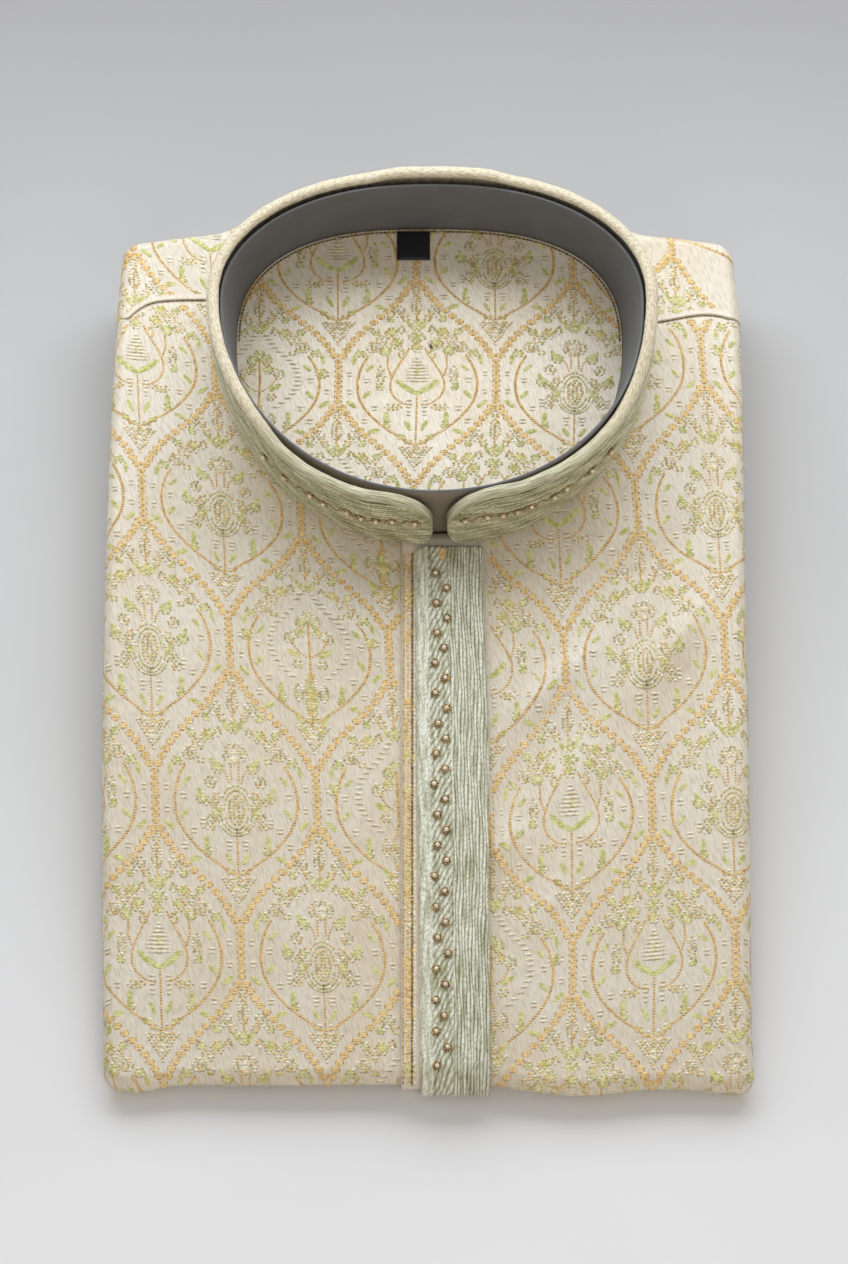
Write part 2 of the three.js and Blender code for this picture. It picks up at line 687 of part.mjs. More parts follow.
function backInnerGeometry() {
  const inset = NECK_HOLE_INSET - FLOOR_OVERLAP;
  const grid = (drop) => FLOOR_RINGS.map((step) => ringAngles(RING_COUNT).map((angle) => {
    const edge = eggPoint(COLLAR_BASE, angle, inset);
    const x = lerp(COLLAR_BASE.x, edge.x, step);
    const y = lerp(COLLAR_BASE.y, edge.y, step);
    return new THREE.Vector3(x, y, plainTop(x, y) - drop);
  }));
  const lower = grid(2 * WALL + SEAM_GAP);
  const upper = grid(WALL + SEAM_GAP);
  return loftLoops([...lower.reverse(), ...upper]);
}

// ---------------------------------------------------------------------------------------------
// Collar
// ---------------------------------------------------------------------------------------------

const COLLAR_LEFT_ANGLE = -Math.acos((COLLAR_END_LEFT_X - COLLAR_BASE.x) / COLLAR_BASE.half);
const COLLAR_RIGHT_ANGLE = 2 * Math.PI - Math.acos((COLLAR_END_RIGHT_X - COLLAR_BASE.x) / COLLAR_BASE.half);
const END_RUNS = [0.4, 1.4, 3, 5.5, 9, 14];
const COLLAR_STATION_COUNT = 44;

// Angles round the band, close together at its two rounded ends.
function collarStations() {
  const toAngle = 1 / COLLAR_BASE.half;
  const stations = END_RUNS.map((run) => ({ angle: COLLAR_LEFT_ANGLE + run * toAngle, run }));
  const far = END_RUNS[END_RUNS.length - 1];
  const start = COLLAR_LEFT_ANGLE + far * toAngle;
  const end = COLLAR_RIGHT_ANGLE - far * toAngle;
  for (let i = 1; i < COLLAR_STATION_COUNT; i += 1) {
    stations.push({ angle: lerp(start, end, i / COLLAR_STATION_COUNT), run: far });
  }
  for (const run of END_RUNS.slice().reverse()) {
    stations.push({ angle: COLLAR_RIGHT_ANGLE - run * toAngle, run });
  }
  return stations;
}

function endTop(run) {
  const back = Math.max(0, 1 - run / COLLAR_END_TOP_RUN);
  return COLLAR_END_TIP + (COLLAR_HEIGHT - COLLAR_END_TIP) * Math.sqrt(1 - back * back);
}

function endLow(run) {
  const back = Math.max(0, 1 - run / COLLAR_END_LOW_RUN);
  return COLLAR_END_TIP * (1 - Math.sqrt(1 - back * back));
}

// Point of the standing band: an angle round it, a distance in from its outer face and a height.
function collarPoint(angle, inset, height) {
  const degrees = THREE.MathUtils.radToDeg(angle);
  const dip = tableCurve(COLLAR_FRONT, 'angle', 'dip', degrees);
  const lean = tableCurve(COLLAR_FRONT, 'angle', 'lean', degrees);
  const t = height / COLLAR_HEIGHT;
  const bulge = COLLAR_BULGE * Math.sin(Math.PI * THREE.MathUtils.clamp(t, 0, 1));
  const foot = eggPoint(COLLAR_BASE, angle, inset);
  const at = eggPoint(mixRings(COLLAR_BASE, COLLAR_RIM, t), angle, inset - bulge - lean * t);
  const ground = plainTop(foot.x, foot.y) + lapBridge(foot.x) + SEAM_GAP;
  return new THREE.Vector3(at.x, at.y, ground + height - dip * t);
}

// Band from a closed section, given for each station as a list of { inset, height }.
function collarBand(section) {
  const loops = collarStations().map((s) => (
    section(endLow(s.run), endTop(s.run)).map((p) => collarPoint(s.angle, p.inset, p.height))
  ));
  return loftLoops(loops.reverse());
}

function collarOuterSection(low, top) {
  const upper = top - RIM_ROLL_DEPTH - SEAM_GAP;
  const levels = [0, 0.25, 0.5, 0.75, 1].map((t) => lerp(low, upper, t));
  const outer = levels.map((height) => ({ inset: 0, height }));
  const inner = levels.reverse().map((height) => ({ inset: COLLAR_OUTER_WALL, height }));
  return [...outer, ...inner];
}

// The facing runs up inside the band and rolls over its top edge.
function collarInnerSection(low, top) {
  const near = COLLAR_OUTER_WALL + SEAM_GAP;
  const far = near + COLLAR_INNER_WALL;
  const neckOfRoll = top - RIM_ROLL_DEPTH;
  const middle = lerp(low, neckOfRoll, 0.5);
  return [
    { inset: near, height: low },
    { inset: near, height: middle },
    { inset: near, height: neckOfRoll },
    ...RIM_SECTION.map((p) => ({ inset: p.inset, height: top - p.down * RIM_ROLL_DEPTH })),
    { inset: far, height: middle },
    { inset: far, height: low },
  ];
}

// Closed band inside the collar that holds it open. It stands on the inside back.
function supportGeometry() {
  const section = (angle) => {
    const back = 0.5 + 0.5 * Math.sin(angle);
    const height = lerp(SUPPORT_FRONT_HEIGHT, SUPPORT_BACK_HEIGHT, back);
    const at = (inset, t) => {
      const foot = eggPoint(SUPPORT_FOOT, angle, inset);
      const point = eggPoint(mixRings(SUPPORT_FOOT, SUPPORT_TOP, t), angle, inset);
      const ground = plainTop(foot.x, foot.y) - WALL;
      return new THREE.Vector3(point.x, point.y, ground + height * t);
    };
    return [at(0, 0), at(0, 0.5), at(0, 1), at(SUPPORT_WALL, 1), at(SUPPORT_WALL, 0.5), at(SUPPORT_WALL, 0)];
  };
  const sections = ringAngles(RING_COUNT).map(section);
  const outer = [0, 1, 2].map((k) => sections.map((points) => points[k]));
  const inner = [5, 4, 3].map((k) => sections.map((points) => points[k]));
  return wallFromGrids(outer, inner, true);
}

// ---------------------------------------------------------------------------------------------
// Placket band and label
// ---------------------------------------------------------------------------------------------

const PLACKET_X_STEPS = [0, 0.33, 0.66, 1];
const PLACKET_Y_STEPS = 16;
const PLACKET_ROLL_ANGLES = [125, 105, 80, 55, 28];   // the band ends under the front fold

function placketGeometry() {
  const backY = COLLAR_BASE.y - COLLAR_BASE.front - PLACKET_COLLAR_SPACE;
  const columns = PLACKET_X_STEPS.map((t) => lerp(PLACKET_LEFT_X, PLACKET_RIGHT_X, t));
  const lift = WALL + 2 * SEAM_GAP;
  const grid = (out) => {
    const rows = [];
    for (const angle of PLACKET_ROLL_ANGLES) {
      rows.push(columns.map((x) => {
        const station = { x, y: frontFlatEdge(x), nx: 0, ny: -1 };
        return rollPoint(station, angle, 0, lift + out);
      }));
    }
    for (let i = 0; i <= PLACKET_Y_STEPS; i += 1) {
      rows.push(columns.map((x) => (
        topPoint(x, lerp(frontFlatEdge(x), backY, i / PLACKET_Y_STEPS), lift + out)
      )));
    }
    return rows;
  };
  return wallFromGrids(grid(PLACKET_WALL), grid(0), false);
}

function labelGeometry() {
  const xs = [LABEL_X - LABEL_WIDTH / 2, LABEL_X + LABEL_WIDTH / 2];
  const ys = [LABEL_BACK_Y - LABEL_LENGTH, LABEL_BACK_Y - LABEL_LENGTH / 2, LABEL_BACK_Y];
  const low = -WALL;
  const grid = (out) => ys.map((y) => xs.map((x) => new THREE.Vector3(x, y, plainTop(x, y) + low + out)));
  return wallFromGrids(grid(LABEL_WALL), grid(0), false);
}

// ---------------------------------------------------------------------------------------------
// The kurta
// ---------------------------------------------------------------------------------------------

const kurta = new THREE.Group();

function addPiece(name, geometry, finish) {
  const mesh = new THREE.Mesh(geometry, new THREE.MeshStandardMaterial(MATERIALS[finish]));
  mesh.name = name;
  kurta.add(mesh);
}

const plainSkin = skinGeometry(() => 0);
const lappedSkin = skinGeometry(lapLift);

addPiece('folded_layers', loftLoops(layerLoops()), 'layers');
addPiece('front_right', cutSkin(plainSkin, frontRightOutline()), 'brocade');
addPiece('front_left', cutSkin(lappedSkin, frontLeftOutline()), 'brocade');
addPiece('back_yoke', cutSkin(plainSkin, yokeOutline()), 'brocade');
addPiece('back_inner', backInnerGeometry(), 'brocade');
addPiece('collar_outer', collarBand(collarOuterSection), 'threadwork');
addPiece('collar_inner', collarBand(collarInnerSection), 'brocade');
addPiece('collar_support', supportGeometry(), 'support');
addPiece('placket_band', placketGeometry(), 'threadwork');
addPiece('neck_label', labelGeometry(), 'label');

// The origin is under the middle of the whole, on the surface it lies on.
const bounds = new THREE.Box3().setFromObject(kurta);
const middle = bounds.getCenter(new THREE.Vector3());
kurta.position.set(-middle.x, -middle.y, -bounds.min.z);

export default kurta;
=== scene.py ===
"""Dresses the folded kurta: brocade panels with their woven motifs, threadwork bands, beads, seams,
the plain collar support and the blank label, on a pale studio floor."""

import bpy
import numpy as np
from mathutils import Euler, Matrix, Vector


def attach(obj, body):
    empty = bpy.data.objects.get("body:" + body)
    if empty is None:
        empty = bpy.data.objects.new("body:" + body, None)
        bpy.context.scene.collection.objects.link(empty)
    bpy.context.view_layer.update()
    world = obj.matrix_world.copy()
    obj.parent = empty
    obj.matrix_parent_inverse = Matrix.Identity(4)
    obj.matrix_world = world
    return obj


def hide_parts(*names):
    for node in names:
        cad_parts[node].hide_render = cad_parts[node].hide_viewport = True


bl_info = {
    "name": "Folded kurta",
    "version": (1, 0, 0),
    "blender": (4, 5, 0),
    "location": "3D View > Sidebar > Kurta",
    "description": "Dresses the folded kurta in brocade, threadwork, beads and stitches",
    "category": "Object",
}

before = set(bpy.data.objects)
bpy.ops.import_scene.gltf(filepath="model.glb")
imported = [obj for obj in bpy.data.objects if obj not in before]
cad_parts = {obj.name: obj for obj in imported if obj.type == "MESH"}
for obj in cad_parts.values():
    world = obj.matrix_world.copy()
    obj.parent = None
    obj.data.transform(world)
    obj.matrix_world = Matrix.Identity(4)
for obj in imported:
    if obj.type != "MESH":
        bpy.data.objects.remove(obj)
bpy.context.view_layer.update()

# ---- Sizes of the folded cloth, in millimetres ----
# x = 0 is the middle of the body, and -y is its front fold.

MM = 0.001
CENTRE = (0.906, -4.650, 0.0)     # from the folded body's own middle to the frame's origin

WALL = 1.5
SHELL = 1.3                       # thickness of the shells, inside the wall
SEAM_GAP = 0.3
FOLD_RADIUS = 4.5
TUCK = 1.5                        # how far a panel goes on under its rolled edge
CORNER_RADIUS = 2.0
NECK_HOLE_INSET = 4.4
FLOOR_OVERLAP = 2.0

# The top rises from the front fold to the back one, and falls to its sides by the crown.
TOP_FRONT_Y = -169.0
TOP_RUN = 335.0
TOP_FRONT_Z = 11.0
TOP_BACK_Z = 46.0
CROWN_FRONT = 1.0
CROWN_BACK = 9.0
CROWN_RISE = (0, 170)             # y between which the crown grows from its front to its back
CROWN_X = 106.0                   # distance from the middle where the top has fallen by the crown
BACK_EDGE_Y = 174.0
BACK_EDGE_BULGE = 10.0            # how much farther the back fold reaches behind the collar
BACK_EDGE_BULGE_X = (50, 82)

# Between these distances the creases fade out.
FADE_SIDE = (92, 108)
FADE_FRONT = (-166, -148)
FADE_BACK = (120, 140)
FADE_PLACKET = (10, 22)           # from the placket's middle
PLACKET_MIDDLE_X = 6.0
FADE_NECK = (1.02, 1.2)           # as a ratio of the collar's base
INNER_WAVE = {"height": 0.5, "x": -30.0, "y": 100.0, "slant": 0.3, "width": 9.0}

# The rays of the panels: where a front, a side and the back end, and the columns beside a seam.
FRONT_END_X = 103.0
SIDE_END_Y = 160.0
BACK_END_X = 100.0
CORNER_X = 108.0
SEAM_END_X = 112.0
SEAM_STEPS = np.array([0, 0.5, 1.0, 1.8, 3.0, 4.5])
LAP_STEPS = np.array([0, 0.2, 0.5, 0.9])
CORNER_DEGREES = np.array([8.0, 20, 32, 44, 56, 68, 80])
ROLL_TURNS = np.array([8.0, 18, 30, 42, 55, 68, 82, 96, 110, 125, 140, 155, 168, 180])
PANEL_ROWS = 64                   # rows of a panel from the neck edge to its rolled edge
SEAM_BEND = 40.0                  # width of cloth whose rays bend to a seam
# Where those rays start on the neck: degrees at the ends of a corner, of the back and of a side.
FRONT_CORNER_TURNS = (-28.0, -29.8)
BACK_CORNER_TURNS = (28.8, 45.0)
BACK_TURNS = (90.0, 45.0)
SIDE_TURN_STEP = 0.8              # degrees for each millimetre behind the neck's middle
FRONT_NECK_X = 34.0               # up to here a front's rays run straight back to the neck
FRONT_NECK_SHARE = 0.42

# Egg-shaped rings: the middle, half the width, the depths in front of it and behind it, and how square
# the back and the front's left half are, 2 being round.
COLLAR_BASE = {"x": 2, "y": 124, "half": 79.5, "front": 84.5, "back": 55, "square": 2.8, "left": 2}
COLLAR_RIM = {"x": 1.5, "y": 122, "half": 82.5, "front": 84.5, "back": 51, "square": 2.2, "left": 2.1}
COLLAR_HEIGHT = 36.0
COLLAR_WALL = 1.6
COLLAR_FACING = 1.7
COLLAR_BULGE = 0.8
COLLAR_END_RIGHT_X = 2.1
COLLAR_END_LEFT_X = 6.8
COLLAR_END_TIP = 15.0             # height of an end's tip
COLLAR_END_TOP_RUN = 21.0         # how far from it the top is level again, and the lower edge
COLLAR_END_LOW_RUN = 5.0
BAND_LEVELS = 132                 # rows of the band's outside, up its height
BAND_INSIDE_STEP = 13             # its inside has one row for so many
RIM_ROLL = 4.5
RIM_ROLL_DEPTH = 3.4

SUPPORT_FOOT = {
    "x": 0.5, "y": 124, "half": 72.2, "front": 78.4, "back": 49.9, "square": 2.7, "left": 2,
}
SUPPORT_TOP = {
    "x": 1.4, "y": 122, "half": 77.7, "front": 78, "back": 46, "square": 2.2, "left": 2.15,
}
SUPPORT_WALL = 1.2
SUPPORT_FRONT_HEIGHT = 30.0
SUPPORT_BACK_HEIGHT = 35.5

LAP_EDGE_X = -9.5
LAP_END = (15.5, 20)              # x between which the lapped front comes down to the other one
LAP_BRIDGE_RISE = (-22.5, -9.5)   # x between which the collar steps up on the lap, and down
LAP_BRIDGE_FALL = (20, 33)
UNDERLAP_EDGE_X = 14.7
PLACKET_LEFT_X = -4.0
PLACKET_RIGHT_X = 21.4
PLACKET_BACK_Y = 38.3
PLACKET_WALL = 1.8
PLACKET_FOOT = 1.0                # how deep the band's flat base lies in its wall
BORDER_END = (4.2, 5.4)           # across the band: from the padded border to slanting threads
SLANTING_END = (11.6, 12.8)       # and from those to the long ones
BORDER_PAD = {"middle": 2.7, "half": 2.9, "height": 0.55}

BEAD_START_Y = 26.5
BEAD_END_Y = -178.0
BEAD_LEFT_X, BEAD_RIGHT_X = 2.9, 6.3
PEARL_SIZE = 1.75
COLLAR_BEAD_RUNS = np.array([6.5, 14.3, 20.0, 25.3, 30.4, 39.5, 44.5, 56.0, 66.0])
COLLAR_BEAD_HEIGHT = 20.8

LABEL_X = -5.4
LABEL_WIDTH = 12.2
LABEL_LENGTH = 12.0
LABEL_BACK_Y = 171.5

# Angle round the collar, then how much lower the band is there and how far its rim leans out.
COLLAR_FRONT = np.array([
    (-90, 4.5, 0), (-75, 5, 0), (-60, 6, 0), (-50, 7, 0), (-35, 7, 0), (-25, 5.5, 0), (-12, 2, 0),
    (0, 0, 0), (20, 0, 0), (180, 0, 0), (205, 0, 0), (218, 1, 0.7), (230, 4.5, 1.7), (250, 5, 1.7),
    (262, 5, 0.9), (270, 4, 0),
])

# y, then the distance of the outermost cloth from x = 0 on the wearer's right and left.
SIDE_EDGE = np.array([
    (-175, 114.6, 115.6), (-150, 115.0, 114.6), (-125, 115.9, 114.8), (-40, 117.4, 115.4),
    (25, 117.5, 115.3), (90, 116.8, 115.7), (143, 115.2, 115.5), (160, 114.1, 113.9),
    (190, 112.0, 111.0),
])

# x and y of the front fold's foremost line.
FRONT_EDGE = np.array([
    (-130, -171.2), (-112, -172.3), (-102, -172.9), (-90, -170.6), (-62, -170.8), (-10, -170.4),
    (22, -170.9), (40, -173.8), (58, -174.7), (76, -172.4), (92, -172.2), (107, -173.6),
    (130, -172.6),
])

# x and y of the shoulder seams.
RIGHT_SEAM = np.array([
    (-140, 130), (-115.5, 136.2), (-108.5, 142.8), (-103, 145.6), (-95.5, 145.8), (-81.4, 144.5),
    (-60, 142.5),
])
LEFT_SEAM = np.array([
    (60, 132), (83.8, 135.3), (100.6, 140.3), (108, 141), (114.7, 139.6), (140, 134),
])

# Soft troughs: x and y of the middle, direction in degrees, half length, half width and depth. A
# negative depth is a soft ridge.
CREASES = np.array([
    (40, -42, 56, 48, 10, 1.2), (62, -62, 40, 34, 8, 0.8), (78, 33, 40, 50, 9, 1.3),
    (96, -34, -74, 42, 9, 0.9), (-52, 14, 70, 46, 12, 0.9), (-86, 74, 40, 34, 10, 0.8),
    (-28, -88, 12, 50, 13, 0.6),
    (30, -58, 74, 26, 4.5, 0.55), (46, -16, 48, 30, 5, -2.4), (56, -32, 50, 30, 5, 0.8),
    (90, 0, 55, 42, 7, -2.8), (26, -83, 50, 18, 5, -1.6), (44, -104, 62, 22, 5, -1.1),
    (62, 38, 30, 34, 5, -1.6), (-39, 14, -42, 36, 3.5, -1.7), (-62, 6, -40, 34, 7, 0.5),
    (-74, 30, 62, 22, 5, 0.35), (-36, -20, 80, 30, 6, 0.4), (-90, -96, 84, 34, 6, 0.4),
    (60, -120, -80, 30, 6, 0.35), (-60, -140, 20, 28, 6, 0.35),
])

# ---- Shape of the folded cloth ----


def smooth(start, end, value):
    """0 before the start, 1 after the end, and an even turn between them."""
    t = np.clip((np.asarray(value, float) - start) / (end - start), 0, 1)
    return t * t * (3 - 2 * t)


def lerp(a, b, t):
    return a + (b - a) * t


def table_curve(keys, values, at):
    """Smooth curve through a table, by Catmull-Rom with the ends repeated."""
    at = np.asarray(at, float)
    last = len(keys) - 1
    i = np.clip(np.searchsorted(keys, at) - 1, 0, last - 1)
    before, after = np.maximum(i - 1, 0), np.minimum(i + 2, last)
    span = keys[i + 1] - keys[i]
    t = np.clip((at - keys[i]) / span, 0, 1)
    slope_a = (values[i + 1] - values[before]) / (keys[i + 1] - keys[before]) * span
    slope_b = (values[after] - values[i]) / (keys[after] - keys[i]) * span
    return ((2 * t**3 - 3 * t**2 + 1) * values[i] + (t**3 - 2 * t**2 + t) * slope_a
            + (3 * t**2 - 2 * t**3) * values[i + 1] + (t**3 - t**2) * slope_b)


def crease_depth(x, y):
    """How deep the creases are at a point of the cloth."""
    depth = np.zeros(np.broadcast(x, y).shape)
    for cx, cy, degrees, length, width, deep in CREASES:
        turn = np.radians(degrees)
        along = (x - cx) * np.cos(turn) + (y - cy) * np.sin(turn)
        across = (y - cy) * np.cos(turn) - (x - cx) * np.sin(turn)
        fade = np.maximum(0, 1 - (along / length) ** 2)
        depth += deep * fade * fade * np.exp(-((across / width) ** 2))
    return depth


def neck_ratio(x, y):
    """1 on the outer face of the collar's base, less inside it."""
    dx = np.abs(x - COLLAR_BASE["x"]) / COLLAR_BASE["half"]
    dy = y - COLLAR_BASE["y"]
    power = np.where(dy > 0, COLLAR_BASE["square"], 2.0)
    depth = np.where(dy > 0, COLLAR_BASE["back"], COLLAR_BASE["front"])
    return (dx**power + (np.abs(dy) / depth) ** power) ** (1 / power)


def plain_top(x, y):
    """Height of the top without its creases."""
    along = np.clip((y - TOP_FRONT_Y) / TOP_RUN, 0, 1.05)
    crown = lerp(CROWN_FRONT, CROWN_BACK, smooth(*CROWN_RISE, y))
    return lerp(TOP_FRONT_Z, TOP_BACK_Z, along) - crown * np.minimum(np.abs(x) / CROWN_X, 1.1) ** 3


def cloth_top(x, y):
    """Height of the top with its creases."""
    side = 1 - smooth(*FADE_SIDE, np.abs(x))
    ends = smooth(*FADE_FRONT, y) * (1 - smooth(*FADE_BACK, y))
    placket = smooth(*FADE_PLACKET, np.abs(x - PLACKET_MIDDLE_X))
    neck = smooth(*FADE_NECK, neck_ratio(x, y))
    return plain_top(x, y) - crease_depth(x, y) * side * ends * placket * neck


def side_edge(x, y):
    """x of the outermost cloth on the side that x lies on."""
    right = table_curve(SIDE_EDGE[:, 0], SIDE_EDGE[:, 1], y)
    left = table_curve(SIDE_EDGE[:, 0], SIDE_EDGE[:, 2], y)
    return np.where(np.asarray(x) < 0, -right, left)


def front_flat_edge(x):
    """y where the flat top ends and the front fold starts."""
    return table_curve(FRONT_EDGE[:, 0], FRONT_EDGE[:, 1], x) + FOLD_RADIUS


def back_flat_edge(x):
    """y where the flat top ends and the back fold starts."""
    return BACK_EDGE_Y - FOLD_RADIUS + BACK_EDGE_BULGE * (1 - smooth(*BACK_EDGE_BULGE_X, np.abs(x)))


def seam_y(x):
    """y of the shoulder seam at x."""
    right = table_curve(RIGHT_SEAM[:, 0], RIGHT_SEAM[:, 1], x)
    left = table_curve(LEFT_SEAM[:, 0], LEFT_SEAM[:, 1], x)
    return np.where(np.asarray(x) < 0, right, left)


def lap_lift(x):
    """How far the left front is lifted by the underlap below it."""
    return (WALL + SEAM_GAP) * (1 - smooth(*LAP_END, x))


def lap_bridge(x):
    """How far the collar's foot is lifted by the lap."""
    return (WALL + SEAM_GAP) * smooth(*LAP_BRIDGE_RISE, x) * (1 - smooth(*LAP_BRIDGE_FALL, x))


def egg_point(ring, angle, inset=0.0):
    """Point of an egg-shaped ring: a half ellipse in front, fuller at the left, and squarer behind."""
    c, s = np.cos(angle), np.sin(angle)
    power = np.where(s > 0, ring["square"], np.where(c > 0, ring["left"], 2.0))
    depth = np.where(s > 0, ring["back"], ring["front"]) - inset
    reach = (np.abs(c) ** power + np.abs(s) ** power) ** (-1 / power)
    return ring["x"] + (ring["half"] - inset) * reach * c, ring["y"] + depth * reach * s


def mix_rings(a, b, t):
    """The ring at a share t of the way from a to b."""
    return {key: lerp(a[key], b[key], t) for key in a}


def cloth_beyond(x, y):
    """Distance of a cloth point beyond the edge of the flat top, and the outward direction there."""
    reach = np.abs(side_edge(x, y)) - FOLD_RADIUS - CORNER_RADIUS
    front = front_flat_edge(x) + CORNER_RADIUS
    back = back_flat_edge(x) - CORNER_RADIUS
    dx = np.maximum(np.abs(x) - reach, 0)
    dy = np.maximum(np.where(y < 0, front - y, y - back), 0)
    away = np.hypot(dx, dy)
    scale = 1 / np.maximum(away, 1e-9)
    return np.maximum(away - CORNER_RADIUS, 0), np.sign(x) * dx * scale, np.sign(y) * dy * scale


def cloth_point(x, y, out=0.0, lapped=False):
    """Place of a point of the upper cloth: flat on top, then rolled round the folded edge."""
    x, y = np.broadcast_arrays(np.asarray(x, float), np.asarray(y, float))
    beyond, nx, ny = cloth_beyond(x, y)
    ex, ey = x - nx * beyond, y - ny * beyond
    turn = np.minimum(beyond / FOLD_RADIUS, np.pi)
    under = np.maximum(beyond - np.pi * FOLD_RADIUS, 0)
    rise = out + (lap_lift(ex) if lapped else 0)
    reach = (FOLD_RADIUS + rise) * np.sin(turn) - under
    z = cloth_top(ex, ey) - FOLD_RADIUS + (FOLD_RADIUS + rise) * np.cos(turn)
    return np.stack([ex + nx * reach, ey + ny * reach, z], -1)


def lapped_point(x, y, out=0.0):
    """Place of a point of the left front, which laps over the right one."""
    return cloth_point(x, y, out, lapped=True)


def inner_point(x, y, out=0.0):
    """Place of a point of the inside back, seen through the neck."""
    x, y = np.broadcast_arrays(np.asarray(x, float), np.asarray(y, float))
    across = x - INNER_WAVE["x"] - INNER_WAVE["slant"] * (y - INNER_WAVE["y"])
    wave = INNER_WAVE["height"] * np.exp(-((across / INNER_WAVE["width"]) ** 2))
    wave = wave * smooth(1, 0.6, neck_ratio(x, y))
    return np.stack([x, y, plain_top(x, y) - WALL - SEAM_GAP - wave + out], -1)


def collar_ground(angle, inset):
    """Height of the cloth that the collar stands on."""
    fx, fy = egg_point(COLLAR_BASE, angle, inset)
    return plain_top(fx, fy) + lap_bridge(fx) + SEAM_GAP


def collar_point(angle, height, inset=0.0):
    """Place of a point of the standing band, by its angle, height and distance in from the outside."""
    t = height / COLLAR_HEIGHT
    bulge = COLLAR_BULGE * np.sin(np.pi * np.clip(t, 0, 1))
    dip, lean = (table_curve(COLLAR_FRONT[:, 0], COLLAR_FRONT[:, k], np.degrees(angle))
                 for k in (1, 2))
    x, y = egg_point(mix_rings(COLLAR_BASE, COLLAR_RIM, t), angle, inset - bulge - lean * t)
    return np.stack([x, y, collar_ground(angle, inset) + height - dip * t], -1)


# ---- Colours, nodes and materials ----


def srgb(hex_colour):
    """Linear RGBA of an sRGB hex colour."""
    channels = [int(hex_colour[i:i + 2], 16) / 255 for i in (1, 3, 5)]
    linear = [c / 12.92 if c <= 0.04045 else ((c + 0.055) / 1.055) ** 2.4 for c in channels]
    return (*linear, 1.0)


def toned(colour, tone):
    """A colour multiplied by a tone given as sRGB hex."""
    return tuple(c * t for c, t in zip((*colour[:3], 1.0), srgb(tone)))


def add_node(tree, kind, settings=None, values=None, links=None, stops=()):
    """A node with its properties, the values of its free inputs, the sockets that feed the rest and
    the (position, colour) stops of its ramp, of which the ramp has the first two already."""
    node = tree.nodes.new(kind)
    for key, value in (settings or {}).items():
        setattr(node, key, value)
    for key, value in (values or {}).items():
        node.inputs[key].default_value = value
    for key, socket in (links or {}).items():
        tree.links.new(socket, node.inputs[key])
    for index, (position, colour) in enumerate(stops):
        points = node.color_ramp.elements
        point = points[index] if index < 2 else points.new(position)
        point.position, point.color = position, colour
    return node


def new_material(name, surface):
    """A material with a Principled shader, whose constant sockets are set from surface."""
    material = bpy.data.materials.new(name)
    material.use_nodes = True
    tree = material.node_tree
    tree.nodes.clear()
    shader = add_node(tree, "ShaderNodeBsdfPrincipled", values=surface)
    add_node(tree, "ShaderNodeOutputMaterial", links={"Surface": shader.outputs[0]})
    return material, tree, shader


def finish_material(tree, shader, colour, relief=None, depth=0.0):
    """Joins a finish's colour, and its relief with a depth in metres, to the shader."""
    tree.links.new(colour, shader.inputs["Base Color"])
    if relief:
        bump = add_node(tree, "ShaderNodeBump", values={"Strength": 0.6, "Distance": depth},
                        links={"Height": relief})
        tree.links.new(bump.outputs["Normal"], shader.inputs["Normal"])


def thread_grain(tree, size, turn=0.0, detail=2.0):
    """Uneven tone of laid threads, size = (width, length) millimetres, turned in the cloth. The
    cloth's own map has 100 mm to a unit."""
    cloth = add_node(tree, "ShaderNodeUVMap", settings={"uv_map": "cloth"})
    turned = add_node(tree, "ShaderNodeMapping", values={"Rotation": (0, 0, np.radians(turn))},
                      links={"Vector": cloth.outputs["UV"]})
    scaled = add_node(tree, "ShaderNodeMapping", values={"Scale": (100 / size[0], 100 / size[1], 1)},
                      links={"Vector": turned.outputs[0]})
    noise = add_node(tree, "ShaderNodeTexNoise", values={"Scale": 1.0, "Detail": detail},
                     links={"Vector": scaled.outputs[0]})
    return noise.outputs["Fac"]


MULTIPLY = {"data_type": "RGBA", "blend_type": "MULTIPLY"}
BLEND = {"data_type": "RGBA", "blend_type": "MIX"}
WHITE = srgb("#ffffff")


def tone_over(tree, base, grain, stops, share=1.0):
    """A colour multiplied by the tones that a grain takes from the stops."""
    tones = add_node(tree, "ShaderNodeValToRGB", links={"Fac": grain}, stops=stops)
    return add_node(tree, "ShaderNodeMix", settings=MULTIPLY, values={0: share},
                    links={6: base, 7: tones.outputs[0]}).outputs[2]


def flecks_over(tree, base, size, start, fleck):
    """A colour with flecks of another where a thread grain of that size is above the start."""
    flecks = add_node(tree, "ShaderNodeMapRange",
                      values={"From Min": start, "From Max": start + 0.08, "To Max": 0.6},
                      links={"Value": thread_grain(tree, size, detail=3)})
    return add_node(tree, "ShaderNodeMix", settings=BLEND, values={7: srgb(fleck)},
                    links={0: flecks.outputs[0], 6: base}).outputs[2]


def mottled_material(name, surface, scale, detail, stops):
    """A finish whose tone wanders over the piece, with the noise's scale for a metre."""
    material, tree, shader = new_material(name, surface)
    place = add_node(tree, "ShaderNodeTexCoord").outputs["Object"]
    noise = add_node(tree, "ShaderNodeTexNoise", values={"Scale": scale, "Detail": detail},
                     links={"Vector": place})
    tones = add_node(tree, "ShaderNodeValToRGB", links={"Fac": noise.outputs["Fac"]}, stops=stops)
    finish_material(tree, shader, tones.outputs[0])
    return material


